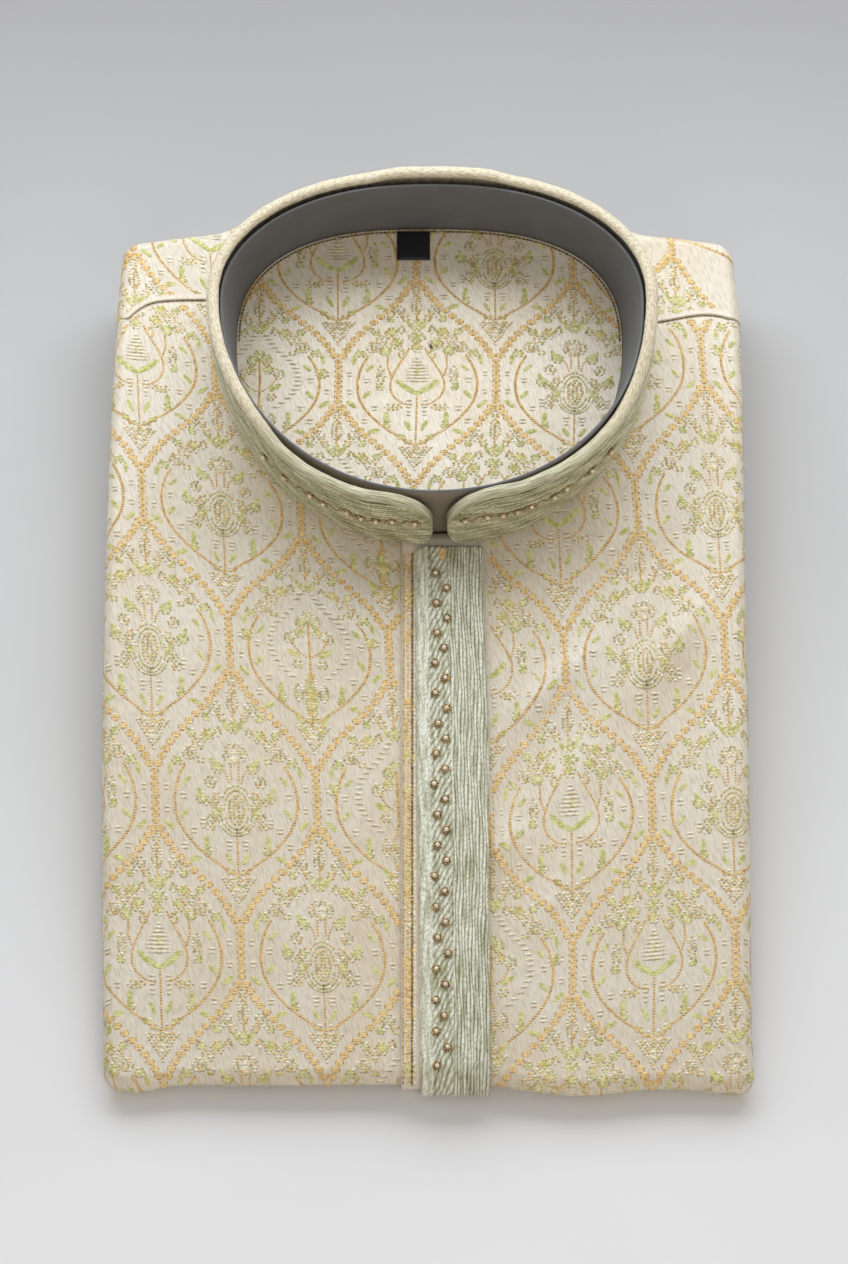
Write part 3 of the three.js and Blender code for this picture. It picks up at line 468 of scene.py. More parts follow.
def brocade_material(name, colour):
    """Cotton and silk jacquard: a satin ground of fine slanting threads, with a broad soft shine."""
    material, tree, shader = new_material(name, {
        "Roughness": 0.4, "Specular IOR Level": 0.5, "Sheen Weight": 0.15, "Sheen Roughness": 0.4,
    })
    # Satin threads lie 0.45 mm apart, drawn 0.6 mm wide so that they show.
    streaks = thread_grain(tree, (0.6, 4.0), turn=-16, detail=1)
    ground = add_node(tree, "ShaderNodeValToRGB", links={"Fac": streaks}, stops=[
        (0.32, toned(colour, "#e9e6e1")), (0.6, toned(colour, "#ffffff")),
        (0.48, toned(colour, "#f8f6f4"))])
    mixed = tone_over(tree, ground.outputs[0], thread_grain(tree, (38, 52)),
                      [(0.3, srgb("#f4efe6")), (0.7, WHITE)])
    finish_material(tree, shader, mixed, streaks, 0.00012)
    return material


def thread_material(name, colour, low="#c9bfa8"):
    """Loose-twisted silk thread: a soft gloss, and a tone that goes deeper here and there."""
    return mottled_material(name, {"Roughness": 0.42, "Sheen Weight": 0.2}, 700.0, 1.0,
                            [(0.36, toned(colour, low)), (0.62, toned(colour, "#ffffff"))])


def threadwork_material(name, colour, deep):
    """Couched rayon threads laid side by side: twisted, glossy on top, with painted shade darkening
    the hollows between them.
    """
    material, tree, shader = new_material(name, {
        "Roughness": 0.42, "Specular IOR Level": 0.45, "Sheen Weight": 0.2,
    })
    relief = add_node(tree, "ShaderNodeAttribute", settings={"attribute_name": "relief"})
    # Painted shade: the colour darkens from the threads' tops to the deep colour in the hollows
    # between them.
    painted_valley_shade = add_node(tree, "ShaderNodeValToRGB", links={"Fac": relief.outputs["Fac"]}, stops=[
        (0.12, srgb(deep)), (0.85, toned(colour, "#ffffff")), (0.5, toned(colour, "#cdcbbb"))])
    # Each thread is twisted once in 2 mm, which slants its plies at 35 degrees.
    twist = thread_grain(tree, (0.6, 1.6), turn=35)
    plies = tone_over(tree, painted_valley_shade.outputs[0], twist, [(0.34, srgb("#c4c3b2")), (0.56, WHITE)], 0.9)
    threads = tone_over(tree, plies, thread_grain(tree, (1.3, 14)),
                        [(0.36, srgb("#c9c7b2")), (0.58, WHITE)])
    # Gold ends show between the threads here and there.
    mixed = flecks_over(tree, threads, (0.9, 2.6), 0.62, "#a98e55")
    finish_material(tree, shader, mixed, twist, 0.00025)
    return material


def rolled_edge_material(name, cloth, thread):
    """Brocade rolled over a cord, wrapped in the band's threads towards the ends, with gold flecks."""
    material, tree, shader = new_material(name, {"Roughness": 0.46, "Sheen Weight": 0.2})
    near_end = add_node(tree, "ShaderNodeAttribute", settings={"attribute_name": "relief"})
    twist = thread_grain(tree, (1.0, 2.4), turn=38)
    lines = thread_grain(tree, (0.8, 9))
    cloths = add_node(tree, "ShaderNodeValToRGB", links={"Fac": twist},
                      stops=[(0.36, toned(cloth, "#cfc7ac")), (0.58, toned(cloth, "#ffffff"))])
    threads = add_node(tree, "ShaderNodeValToRGB", links={"Fac": lines},
                       stops=[(0.36, toned(thread, "#8d8468")), (0.6, toned(thread, "#e6e1cb"))])
    both = add_node(tree, "ShaderNodeMix", settings=BLEND, links={
        0: near_end.outputs["Fac"], 6: threads.outputs[0], 7: cloths.outputs[0]})
    mixed = flecks_over(tree, both.outputs[2], (1.6, 4.5), 0.6, "#c6a15a")
    finish_material(tree, shader, mixed, twist, 0.0004)
    return material


def card_material(name, face, back):
    """Pressed fibre card, grey on its smooth face and brown on its back: matt, with a faint mottle."""
    material, tree, shader = new_material(name, {"Roughness": 0.6, "Specular IOR Level": 0.3})
    place = add_node(tree, "ShaderNodeTexCoord").outputs["Object"]
    side = add_node(tree, "ShaderNodeAttribute", settings={"attribute_name": "relief"})
    mottle = add_node(tree, "ShaderNodeTexNoise", values={"Scale": 90.0, "Detail": 4.0},
                      links={"Vector": place})
    grit = add_node(tree, "ShaderNodeTexNoise", values={"Scale": 1400.0, "Detail": 1.0},
                    links={"Vector": place})
    sides = add_node(tree, "ShaderNodeMix", settings=BLEND, values={6: srgb(face), 7: srgb(back)},
                     links={0: side.outputs["Fac"]})
    mixed = tone_over(tree, sides.outputs[2], mottle.outputs["Fac"],
                      [(0.35, srgb("#f0f0f0")), (0.7, WHITE)])
    finish_material(tree, shader, mixed, grit.outputs["Fac"], 0.00004)
    return material


def metal_material(name, light, dark):
    """Antiqued brass beads: a mottle of dark patina and rubbed bright metal."""
    return mottled_material(name, {"Roughness": 0.32, "Metallic": 1.0}, 1500.0, 2.0,
                            [(0.4, srgb(dark)), (0.62, srgb(light))])


def pearl_material(name, light, dark):
    """Pearl-dipped glass beads: cream, with a clear hard gloss."""
    surface = {"Roughness": 0.22, "Coat Weight": 0.6, "Coat Roughness": 0.08}
    return mottled_material(name, surface, 900.0, 2.0, [(0.35, srgb(dark)), (0.65, srgb(light))])


def label_material(name):
    """Black woven satin ribbon: flat black with a fine rib and a low sheen."""
    material, tree, shader = new_material(name, {"Roughness": 0.55, "Sheen Weight": 0.1})
    rib = thread_grain(tree, (2.5, 0.35), detail=1)
    tones = add_node(tree, "ShaderNodeValToRGB", links={"Fac": rib},
                     stops=[(0.3, srgb("#08080a")), (0.7, srgb("#18181c"))])
    finish_material(tree, shader, tones.outputs[0], rib, 0.0001)
    return material


def paper_material(name):
    """Studio paper with painted light: pale in front, falling off to grey behind as the light would,
    matt.
    """
    material, tree, shader = new_material(name, {"Roughness": 0.85, "Specular IOR Level": 0.1})
    place = add_node(tree, "ShaderNodeTexCoord").outputs["Object"]
    tooth = add_node(tree, "ShaderNodeTexNoise", values={"Scale": 6.0}, links={"Vector": place})
    parts = add_node(tree, "ShaderNodeSeparateXYZ", links={"Vector": place})
    back = add_node(tree, "ShaderNodeMapRange", values={"From Min": -0.28, "From Max": 0.32},
                    links={"Value": parts.outputs["Y"]})
    # Painted light: the fall-off of the lamps' light over the floor, pale in front and grey behind.
    painted_falloff = add_node(tree, "ShaderNodeValToRGB", links={"Fac": back.outputs[0]}, stops=[
        (0.0, srgb("#f5f5f7")), (1.0, srgb("#939190")), (0.4, srgb("#d5d5d5"))])
    mixed = tone_over(tree, painted_falloff.outputs[0], tooth.outputs["Fac"],
                      [(0.3, srgb("#fafafa")), (0.7, WHITE)])
    finish_material(tree, shader, mixed)
    return material


MATERIALS = {}
INSIDE_PAINTED_LIGHT = 1.2                 # painted light: the inside of the back is made paler than the outside


def make_materials():
    """Every finish of the kurta, by a short name."""
    cloth, gold, leaf, thread = (getattr(settings(), f"{name}_colour")
                                 for name in ("cloth", "gold", "leaf", "threadwork"))
    MATERIALS.update({
        "brocade": brocade_material("cream jacquard ground", cloth),
        # Painted light: a paler copy of the ground for the inside of the back, for the light falling
        # there.
        "inside": brocade_material("cream jacquard ground, inside",
                                   [min(1, c * INSIDE_PAINTED_LIGHT) for c in cloth]),
        "layers": brocade_material("cream cloth layers", toned(cloth, "#f4f0ea")),
        "rim": rolled_edge_material("rolled brocade edge", toned(cloth, "#fffcf2"), thread),
        "gold": thread_material("gold silk thread", gold, "#dcd2ba"),
        # Ochre thread: real in the lap stitches, and painted shade at the lattice dots' sides and foot
        # and on the stems' lower side.
        "ochre": thread_material("ochre silk thread", toned(gold, "#ebdabf")),
        "leaf": thread_material("leaf green silk thread", leaf, "#d0d4aa"),
        "moss": thread_material("olive silk thread", srgb("#dad2a4"), "#c9c1a0"),
        "cream": thread_material("cream silk thread", srgb("#f7efdc"), "#e4dac2"),
        # Painted shadow: taupe threads laid just below each cream float and knot, where its shadow
        # falls.
        "shade": thread_material("taupe silk thread", srgb("#bbae8d"), "#d5cdb8"),
        # Brown thread: real in the collar cords, and darkened to paint the shade in the shoulder
        # seams, beside the placket and at the support's foot.
        "seam": thread_material("brown seam thread", srgb("#957c50"), "#a89878"),
        "threadwork": threadwork_material("mint threadwork", thread, "#7a7860"),
        # The band's hollows are painted darker still, for deeper shade.
        "band": threadwork_material("mint threadwork of the band", toned(thread, "#fffae8"),
                                    "#5a523c"),
        "support": card_material("grey card band", "#6e6f71", "#8f8477"),
        "brass": metal_material("antiqued brass", "#e0c48b", "#846840"),
        "pearl": pearl_material("pearl glass", "#f6ecdc", "#d9c3a6"),
        "label": label_material("black woven ribbon"),
    })


# ---- Meshes ----


def grid_faces(rows, columns, wrap=False):
    """Faces of a grid whose outer side is where (row direction) x (column direction) points."""
    i, j = np.meshgrid(np.arange(rows - 1), np.arange(columns if wrap else columns - 1), indexing="ij")
    k = (j + 1) % columns
    corners = [i * columns + j, (i + 1) * columns + j, (i + 1) * columns + k, i * columns + k]
    return np.stack(corners, -1).reshape(-1, 4)


def add_object(name, data):
    """An object with its data, linked to the scene."""
    made = bpy.data.objects.new(name, data)
    bpy.context.scene.collection.objects.link(made)
    return made


def new_piece(name, points, faces, material, uv=None, relief=None):
    """Mesh object from points in millimetres of the folded body, smooth shaded."""
    mesh = bpy.data.meshes.new(name)
    placed = (points.reshape(-1, 3) + np.array(CENTRE)) * MM
    mesh.from_pydata(placed.tolist(), [], faces.tolist() if hasattr(faces, "tolist") else faces)
    mesh.shade_smooth()
    if uv is not None:
        corner = np.zeros(len(mesh.loops), np.int32)
        mesh.loops.foreach_get("vertex_index", corner)
        layer = mesh.uv_layers.new(name="cloth")
        layer.uv.foreach_set("vector", (uv.reshape(-1, 2)[corner] / 100).astype(np.float32).ravel())
    if relief is not None:
        attribute = mesh.attributes.new("relief", "FLOAT", "POINT")
        attribute.data.foreach_set("value", relief.ravel().astype(np.float32))
    mesh.materials.append(MATERIALS[material])
    return add_object(name, mesh)


def thicken(piece, thickness):
    """Gives a shell its thickness, inward from the faces."""
    wall = piece.modifiers.new("thickness", "SOLIDIFY")
    wall.thickness = thickness * MM
    wall.offset = -1.0
    wall.use_even_offset = False


def bake_modifiers(piece):
    """Replaces a piece's mesh by its evaluated one and removes the modifiers."""
    graph = bpy.context.evaluated_depsgraph_get()
    mesh = bpy.data.meshes.new_from_object(piece.evaluated_get(graph), depsgraph=graph)
    piece.modifiers.clear()
    piece.data = mesh
    return piece


def join_pieces(name, parts):
    """One object from several."""
    with bpy.context.temp_override(active_object=parts[0], selected_editable_objects=parts,
                                   object=parts[0], selected_objects=parts):
        if len(parts) > 1:
            bpy.ops.object.join()
    parts[0].name = name
    return parts[0]


# ---- Threads and beads by Geometry Nodes ----

TREES = {}


def instance_tree(name, shape, inputs):
    """A tree that puts a shape on each point, turned by its run and out directions and sized by its
    size, then realises the copies and gives them their material. shape(tree, source) returns the
    shape's geometry socket."""
    tree = bpy.data.node_groups.new(name, "GeometryNodeTree")
    tree.interface.new_socket(name="Geometry", in_out="INPUT", socket_type="NodeSocketGeometry")
    for label, kind, value in inputs:
        socket = tree.interface.new_socket(name=label, in_out="INPUT", socket_type=kind)
        if value is not None:
            socket.default_value = value
    tree.interface.new_socket(name="Geometry", in_out="OUTPUT", socket_type="NodeSocketGeometry")
    source = add_node(tree, "NodeGroupInput")
    vectors = {
        key: add_node(tree, "GeometryNodeInputNamedAttribute",
                      settings={"data_type": "FLOAT_VECTOR"}, values={"Name": key}).outputs[0]
        for key in ("run", "out", "size")
    }
    along = add_node(tree, "FunctionNodeAlignRotationToVector", settings={"axis": "Z"},
                     links={"Vector": vectors["run"]})
    turned = add_node(tree, "FunctionNodeAlignRotationToVector",
                      settings={"axis": "X", "pivot_axis": "Z"},
                      links={"Rotation": along.outputs[0], "Vector": vectors["out"]})
    copies = add_node(tree, "GeometryNodeInstanceOnPoints", links={
        "Points": source.outputs["Geometry"], "Instance": shape(tree, source),
        "Rotation": turned.outputs[0], "Scale": vectors["size"],
    })
    real = add_node(tree, "GeometryNodeRealizeInstances", links={"Geometry": copies.outputs[0]})
    soft = add_node(tree, "GeometryNodeSetShadeSmooth", links={
        "Geometry": real.outputs[0], "Shade Smooth": source.outputs["Smooth"],
    })
    coated = add_node(tree, "GeometryNodeSetMaterial", links={
        "Geometry": soft.outputs[0], "Material": source.outputs["Material"],
    })
    add_node(tree, "NodeGroupOutput", links={"Geometry": coated.outputs[0]})
    return tree


def grain_shape(tree, source):
    """A spindle, one unit long, for a float, a stitch or a bead."""
    return add_node(tree, "GeometryNodeMeshUVSphere", values={"Radius": 0.5}, links={
        "Segments": source.outputs["Sides"], "Rings": source.outputs["Rings"],
    }).outputs["Mesh"]


def bead_ring_shape(tree, source):
    """A ring of small beads round the out direction, one unit across."""
    circle = add_node(tree, "GeometryNodeMeshCircle", values={"Radius": 0.5},
                      links={"Vertices": source.outputs["Beads"]})
    bead = add_node(tree, "GeometryNodeMeshUVSphere", values={"Segments": 6, "Rings": 5},
                    links={"Radius": source.outputs["Bead radius"]})
    ring = add_node(tree, "GeometryNodeInstanceOnPoints", links={
        "Points": circle.outputs["Mesh"], "Instance": bead.outputs["Mesh"],
    })
    upright = add_node(tree, "GeometryNodeTransform", values={"Rotation": (0, np.pi / 2, 0)},
                       links={"Geometry": ring.outputs[0]})
    return add_node(tree, "GeometryNodeRealizeInstances",
                    links={"Geometry": upright.outputs[0]}).outputs[0]


def make_trees():
    """The trees for single spindles and for rings of beads."""
    whole, length, choice = "NodeSocketInt", "NodeSocketFloat", "NodeSocketBool"
    TREES["grain"] = instance_tree("spindles", grain_shape, [
        ("Sides", whole, 4), ("Rings", whole, 2), ("Smooth", choice, False),
        ("Material", "NodeSocketMaterial", None),
    ])
    TREES["ring"] = instance_tree("rings of beads", bead_ring_shape, [
        ("Beads", whole, 9), ("Bead radius", length, 0.17), ("Smooth", choice, True),
        ("Material", "NodeSocketMaterial", None),
    ])


def place_shapes(name, tree, points, run, out, size, material, **inputs):
    """Copies of a tree's shape at the points (mm), with their directions and sizes (mm)."""
    mesh = bpy.data.meshes.new(name)
    mesh.from_pydata(((points + np.array(CENTRE)) * MM).tolist(), [], [])
    for key, values in (("run", run), ("out", out), ("size", size * MM)):
        attribute = mesh.attributes.new(key, "FLOAT_VECTOR", "POINT")
        attribute.data.foreach_set("vector", values.astype(np.float32).ravel())
    piece = add_object(name, mesh)
    modifier = piece.modifiers.new(name, "NODES")
    modifier.node_group = TREES[tree]
    given = {"Material": MATERIALS[material], **inputs}
    for socket in TREES[tree].interface.items_tree:
        if socket.in_out == "INPUT" and socket.name in given:
            modifier[socket.identifier] = given[socket.name]
    return bake_modifiers(piece)


def directions(point_at, x, y, turn, step=0.4):
    """Places on a surface with the unit directions along a turn in the cloth and out of it."""
    here = point_at(x, y)
    ahead = point_at(x + step * np.cos(turn), y + step * np.sin(turn)) - here
    aside = point_at(x - step * np.sin(turn), y + step * np.cos(turn)) - here
    run, out = (way / np.maximum(np.linalg.norm(way, axis=-1, keepdims=True), 1e-9)
                for way in (ahead, np.cross(ahead, aside)))
    return here, run, out


def lay_threads(name, point_at, threads, material, height, rise=0.02):
    """Threads on a surface. Each row of threads is x, y, length, width and turn."""
    x, y, length, width, turn = threads.T
    here, run, out = directions(point_at, x, y, turn)
    size = np.stack([np.full_like(x, height), width, length], -1)
    return place_shapes(name, "grain", here + out * rise, run, out, size, material)


# ---- Charts of the brocade ----
# In millimetres of a cell, x from its middle and y towards the collar.

REPEAT_WIDTH = 58.0
ROW_STEP = 61.0

# The lattice: square dots down a bar and up the two diagonals from it. A dot is its width and height.
BAR_HALF = 10.7
BAR_DOTS, BAR_DOT = 9, (2.7, 2.3)
DIAGONAL_DOTS, DIAGONAL_DOT = 14, (3.0, 2.9)
DIAGONAL_SWAY = 1.5

# The sprigs' threads.
FLOAT_PITCH = 0.62                # distance between neighbouring floats of a woven shape
FLOAT_WIDTH = 0.8
FLOAT_SHORTEST, FLOAT_END = 0.5, 0.35
STEM_PITCH = 1.15                 # distance between the slanting floats of a stem
STEM_SLANT = 0.8                  # their turn from the stem's line, in radians
# A stem's threads: how far each is moved in x and y, how much longer its floats are than the stem is
# wide, and their width.
# The ochre floats lie under the gold ones and show on the stem's lower side as painted shade.
STEM_THREADS = (("ochre", 0, 0, 0.15, 0.8), ("gold", 0.15, 0.2, -0.15, 0.75))
BAR_FLOAT_WIDTH = 0.9
KNOT_STEP, KNOT_ROW = 1.5, 1.2    # distances between the small knots of a woven filling
KNOT = (1.6, 1.05)                # a knot's length and width
KNOT_TURNS = (-0.35, 0.5)
ARC_KNOT_STEP = 1.2
ARC_KNOT = (1.5, 0.95)
SHADE_DROP = 0.5                  # how far below a float or knot its painted shadow thread lies
LEAF_FILL = (0.62, 0.55)          # share of a green filling's width and height that has a leaf below
THREAD_HEIGHT = 0.4
LOW_THREADS = {"shade": 0.16, "ochre": 0.3}

# A chart's rows; those in a SIDES table are repeated in the mirror.
#   stem     points, width                      slanting gold floats on ochre ones
#   oval     thread, x, y, width, height, turn  filled by level floats
#   bars     x, [(y, width), ...]               cream floats, each with a painted shadow thread below
#   knots    threads, x, y, width, height       an oval of small knots, each with a painted shadow thread below
#   fan      threads, x, y, top width, height   the same in a triangle that points down
#   arc      threads, x, y, radii, from, to     the same in one row along an arc, in degrees
GREENS = ("leaf", "moss", "leaf", "leaf", "cream")
MIXED = ("leaf", "gold", "leaf", "cream", "gold")
PALE = ("cream", "moss", "cream", "gold", "moss")
GOLDS = ("gold", "cream", "gold", "leaf")
GARLAND = [
    ("stem", [(0, -31.2), (-3.4, -29.6), (-6.4, -26.8), (-10, -24.2), (-13.4, -21.0), (-16.6, -17.2),
              (-19.2, -13.4), (-21, -9.4), (-21.9, -5.0), (-22.1, -0.6), (-21.4, 4.0), (-20.0, 8.4),
              (-17.8, 12.6)], 1.7),
    ("oval", "leaf", -23.2, 10.6, 2.0, 5.0, -8), ("knots", GREENS, -20.6, 14.0, 4.6, 4.0),
    ("oval", "leaf", -17.4, 6.4, 4.4, 2.0, 40), ("oval", "leaf", -18.6, -6.7, 4.6, 2.2, 48),
    ("oval", "leaf", -24.0, -11.2, 5.2, 2.4, -36), ("oval", "leaf", -11.0, -17.6, 2.6, 5.0, -6),
    ("knots", GREENS, -10.6, -21.0, 3.6, 3.4), ("oval", "leaf", -15.4, -24.4, 5.4, 2.2, 10),
    ("bars", -18.8, [(1.4, 3.4), (-0.2, 2.6)]), ("bars", -15.4, [(-12.2, 3.4), (-13.8, 2.8)]),
    ("bars", -18.9, [(-18.4, 3.4), (-20.0, 3.0)]), ("bars", -25.0, [(4.6, 2.6), (3.0, 2.2)]),
    ("bars", -24.8, [(-4.0, 2.6), (-5.6, 2.2)]),
    ("knots", PALE, -15.9, 17.0, 6.4, 5.4), ("knots", GOLDS, -12.8, 20.6, 5.4, 5.0),
    ("knots", MIXED, -9.4, 23.8, 5.6, 5.4), ("knots", GOLDS, -12.2, 14.4, 3.4, 3.0),
    ("knots", GREENS, -15.2, 24.6, 3.8, 3.6), ("knots", PALE, -5.6, 25.4, 3.4, 4.2),
    ("knots", GOLDS, -2.8, -29.2, 3.6, 3.0),
]
PLANT_SIDES = [
    ("knots", PALE, -6.4, 34.6, 5.4, 6.4), ("knots", GOLDS, -4.0, 31.0, 3.4, 3.4),
    ("knots", GREENS, -9.6, 31.0, 3.6, 3.4), ("oval", "leaf", -2.6, 27.4, 2.0, 4.6, 28),
]
PLANT_MIDDLE = [
    ("stem", [(0, 25), (0, 40)], 1.2), ("knots", GREENS, 0, 27.6, 5.4, 6.0),
    ("knots", PALE, 0, 37.8, 5.0, 9.6), ("knots", GOLDS, 0, 45.2, 3.0, 6.4),
]
BASE = [
    ("fan", ("cream", "moss", "cream", "gold"), 0, -31.4, 13.5, 12.0),
    ("knots", GOLDS, 0, -33.4, 5, 5),
    ("oval", "cream", 0, -38.8, 4.6, 1.2, 0), ("oval", "cream", 0, -36.6, 6.6, 1.2, 0),
]

BUSH_SIDES = [
    ("oval", "leaf", -3.0, -24.6, 2.1, 4.8, 32), ("knots", GREENS, -7.2, -5.4, 3.6, 6.4),
    ("knots", PALE, -9.8, -1.8, 5.0, 3.2), ("knots", PALE, -9.6, -11.4, 4.6, 3.2),
    ("stem", [(-2.2, 5), (-3.2, 9.0), (-5.2, 11.4)], 0.9), ("stem", [(-1.4, 6.2), (-1.4, 13.4)], 0.9),
    ("knots", GREENS, -12.2, -0.2, 5.0, 4.6), ("oval", "leaf", -12.8, 1.6, 2.2, 4.4, 20),
    ("knots", GREENS, -6.4, 11.6, 5.0, 5.0), ("oval", "leaf", -7.8, 13.4, 2.0, 3.8, 30),
    ("knots", PALE, -9.0, 6.0, 5.0, 4.8), ("bars", -12.0, [(-8.6, 3.2), (-10.2, 3.0), (-11.8, 2.4)]),
    ("bars", -2.9, [(-17.4, 3.6), (-19.0, 3.0), (-20.6, 2.2)]),
    ("arc", GREENS, 0, -4.6, 7.2, 10.6, 190, 270), ("arc", GREENS, 0, -4.8, 5.8, 9.2, 185, 270),
    ("arc", ("leaf",), 0, -4.8, 4.3, 7.6, 92, 176),
    ("arc", ("leaf", "moss"), 0, -4.8, 4.4, 7.8, 205, 270),
    ("knots", PALE, -6.9, -4.0, 4.2, 5.6), ("knots", GOLDS, -6.8, 0.6, 3.4, 3.2),
    ("arc", MIXED, 0, -4.8, 5.7, 9.4, 98, 146), ("knots", PALE, -8.6, -8.0, 4.2, 3.2),
]
BUSH_MIDDLE = [
    ("stem", [(0, -30.7), (0, -15)], 1.0),
    ("knots", ("gold", "moss", "gold", "leaf"), 0, -4.8, 6.6, 12.6),
    ("knots", PALE, 0, 17.0, 9.6, 8.4),
    ("oval", "cream", 0, 14.6, 6.4, 1.6, 0), ("oval", "cream", 0, 17.6, 8.6, 1.4, 0),
]
TEARDROP_SIDES = [
    ("oval", "leaf", -3.9, -3.6, 9.8, 3.2, -34), ("oval", "leaf", -6.6, -0.4, 3.6, 1.8, -20),
    ("stem", [(-1.6, -12.2), (-5.4, -11.0), (-8.4, -8.2), (-9.9, -4.4), (-9.9, -0.4), (-8.6, 3.8),
              (-6.6, 8.0), (-4.6, 12.0), (-2.8, 16.0)], 1.3),
    ("stem", [(-9.6, 2.0), (-11.0, 6.8), (-10.8, 12.0)], 1.1),
    ("knots", GREENS, -11.6, 15.2, 5.0, 5.4), ("knots", MIXED, -7.4, 18.6, 5.4, 6.0),
    ("knots", GOLDS, -5.6, 13.4, 3.6, 4.4), ("knots", GOLDS, -8.6, -12.6, 7.0, 3.6),
    ("bars", -3.0, [(-9.4, 3.0), (-11.0, 3.0), (-12.6, 2.8)]),
    ("bars", -2.9, [(-14.6, 2.6), (-16.4, 2.2)]),
    ("oval", "leaf", -3.0, -21.8, 2.3, 5.6, 24), ("knots", PALE, -13.4, 3.2, 4.0, 9.0),
    ("knots", GREENS, -13.8, -2.6, 3.6, 3.6), ("knots", GREENS, -5.2, -27.0, 3.4, 3.0),
]
TEARDROP_MIDDLE = [
    ("stem", [(0, -30.4), (0, -7.4)], 1.1),
    ("bars", 0, [(11.2, 2.4), (9.6, 4.2), (8.0, 6.2), (6.4, 8.2), (4.8, 9.6), (3.2, 11), (1.6, 11.6)]),
    ("bars", 0, [(0.0, 10.4)]), ("oval", "leaf", 0, 4.4, 2.6, 3.4, 0),
    ("oval", "leaf", 0, -6.0, 3.4, 2, 0),
    ("knots", GREENS, 0, 21.6, 7.0, 4.6), ("knots", MIXED, 0, 16.6, 4.8, 5.2),
]
SPRIG_SIDES = [
    *(("bars", x, [(y, 3.8)]) for x, y in (
        (-2.2, 23.6), (-3.3, 21.6), (-4.4, 19.5), (-5.6, 17.4), (-7.3, 15.3), (-9.2, 13.2),
        (-10.9, 11.1), (-12.3, 9.0), (-13.2, 6.9), (-13.8, 4.8), (-14.0, 2.7), (-14.0, 0.6),
        (-13.8, -1.5), (-13.1, -3.6), (-12.0, -5.7), (-10.4, -7.8), (-8.4, -9.9), (-6.4, -12.0))),
    ("knots", GREENS, -2.7, 11.4, 4.6, 5.4), ("knots", MIXED, -3.2, 6.4, 4.4, 4.4),
    ("oval", "leaf", -5.8, -2.7, 6.0, 2.8, -24), ("knots", PALE, -7.0, 4.4, 4.6, 5.4),
    ("stem", [(-6.2, 1.6), (-4.2, -1.8), (-0.8, -4.6)], 1.0), ("knots", GOLDS, -4.4, -7.0, 4.4, 3.4),
    ("knots", PALE, -4.6, -18.4, 4.0, 8.0), ("oval", "leaf", -4.6, -29.2, 2.3, 5.6, 38),
    ("oval", "leaf", -2.9, -34.0, 2.1, 4.2, 30), ("knots", GREENS, -22.6, 4.0, 5.8, 5.0),
]
SPRIG_MIDDLE = [
    ("stem", [(0, 12), (0, -31)], 1.6), ("knots", GREENS, 0, 14.6, 5.0, 3.6),
    ("knots", MIXED, 0, -20, 5.4, 21),
]

# For each panel, its lattice rows: row number, y and x of its middle column, and tilt of the row.
LAY_RIGHT = np.array([
    (-3, 217, -55, -0.30), (-2, 163, -52, -0.28), (-1, 108, -49.5, -0.25), (0, 53.5, -46.5, -0.19),
    (1, -0.7, -43.0, -0.091), (2, -61.7, -39.9, -0.027), (3, -122.3, -37.6, -0.017),
    (4, -182.4, -35, -0.01), (5, -243, -33, 0),
])
LAY_LEFT = np.array([
    (-3, 240, 66, 0.1), (-2, 180, 69, 0.1), (-1, 118.8, 72, 0.1), (0, 57.5, 76.2, 0.1),
    (1, -2.5, 78.4, 0.101), (2, -64.3, 80.3, 0.109), (3, -124.2, 80.4, 0.12), (4, -184.5, 79, 0.125),
    (5, -245, 78, 0.13),
])
LAY_INNER = np.array([
    (-1, 213, -3.9, 0), (0, 161, -4.5, 0), (1, 109.4, -3.9, 0), (2, 57, -5.5, 0), (3, 3, -6, 0),
])

# Which chart each row of cells starts with at its middle, and the order that they follow.
CHART_ORDER = ("bush", "sprig", "teardrop")
ROW_CHARTS = {
    "right": {-2: 0, -1: 0, 0: 1, 1: 1, 2: 1, 3: 0, 4: 1},
    "left": {-2: 1, -1: 0, 0: 0, 1: 0, 2: 0, 3: 2, 4: 0},
    "inner": {0: 0, 1: 2, 2: 2, 3: 1},
}


def stem_threads(points, width):
    """Slanting floats along a polyline: ochre ones, and gold ones on their upper side, so that the
    ochre shows below as painted shade.
    """
    p = np.array(points, float)
    run = np.concatenate([[0], np.cumsum(np.hypot(*np.diff(p, axis=0).T))])
    count = max(2, round(run[-1] / STEM_PITCH))
    at = (np.arange(count) + 0.5) * run[-1] / count
    x, y = np.interp(at, run, p[:, 0]), np.interp(at, run, p[:, 1])
    ahead, behind = np.minimum(at + 0.6, run[-1]), np.maximum(at - 0.6, 0)
    turn = np.arctan2(np.interp(ahead, run, p[:, 1]) - np.interp(behind, run, p[:, 1]),
                      np.interp(ahead, run, p[:, 0]) - np.interp(behind, run, p[:, 0]))
    full = np.ones(count)
    parts = []
    for thread, dx, dy, longer, thick in STEM_THREADS:
        rows = [x + dx, y + dy, (width + longer) * full, thick * full, turn + STEM_SLANT]
        parts.append((thread, np.stack(rows, -1)))
    return parts


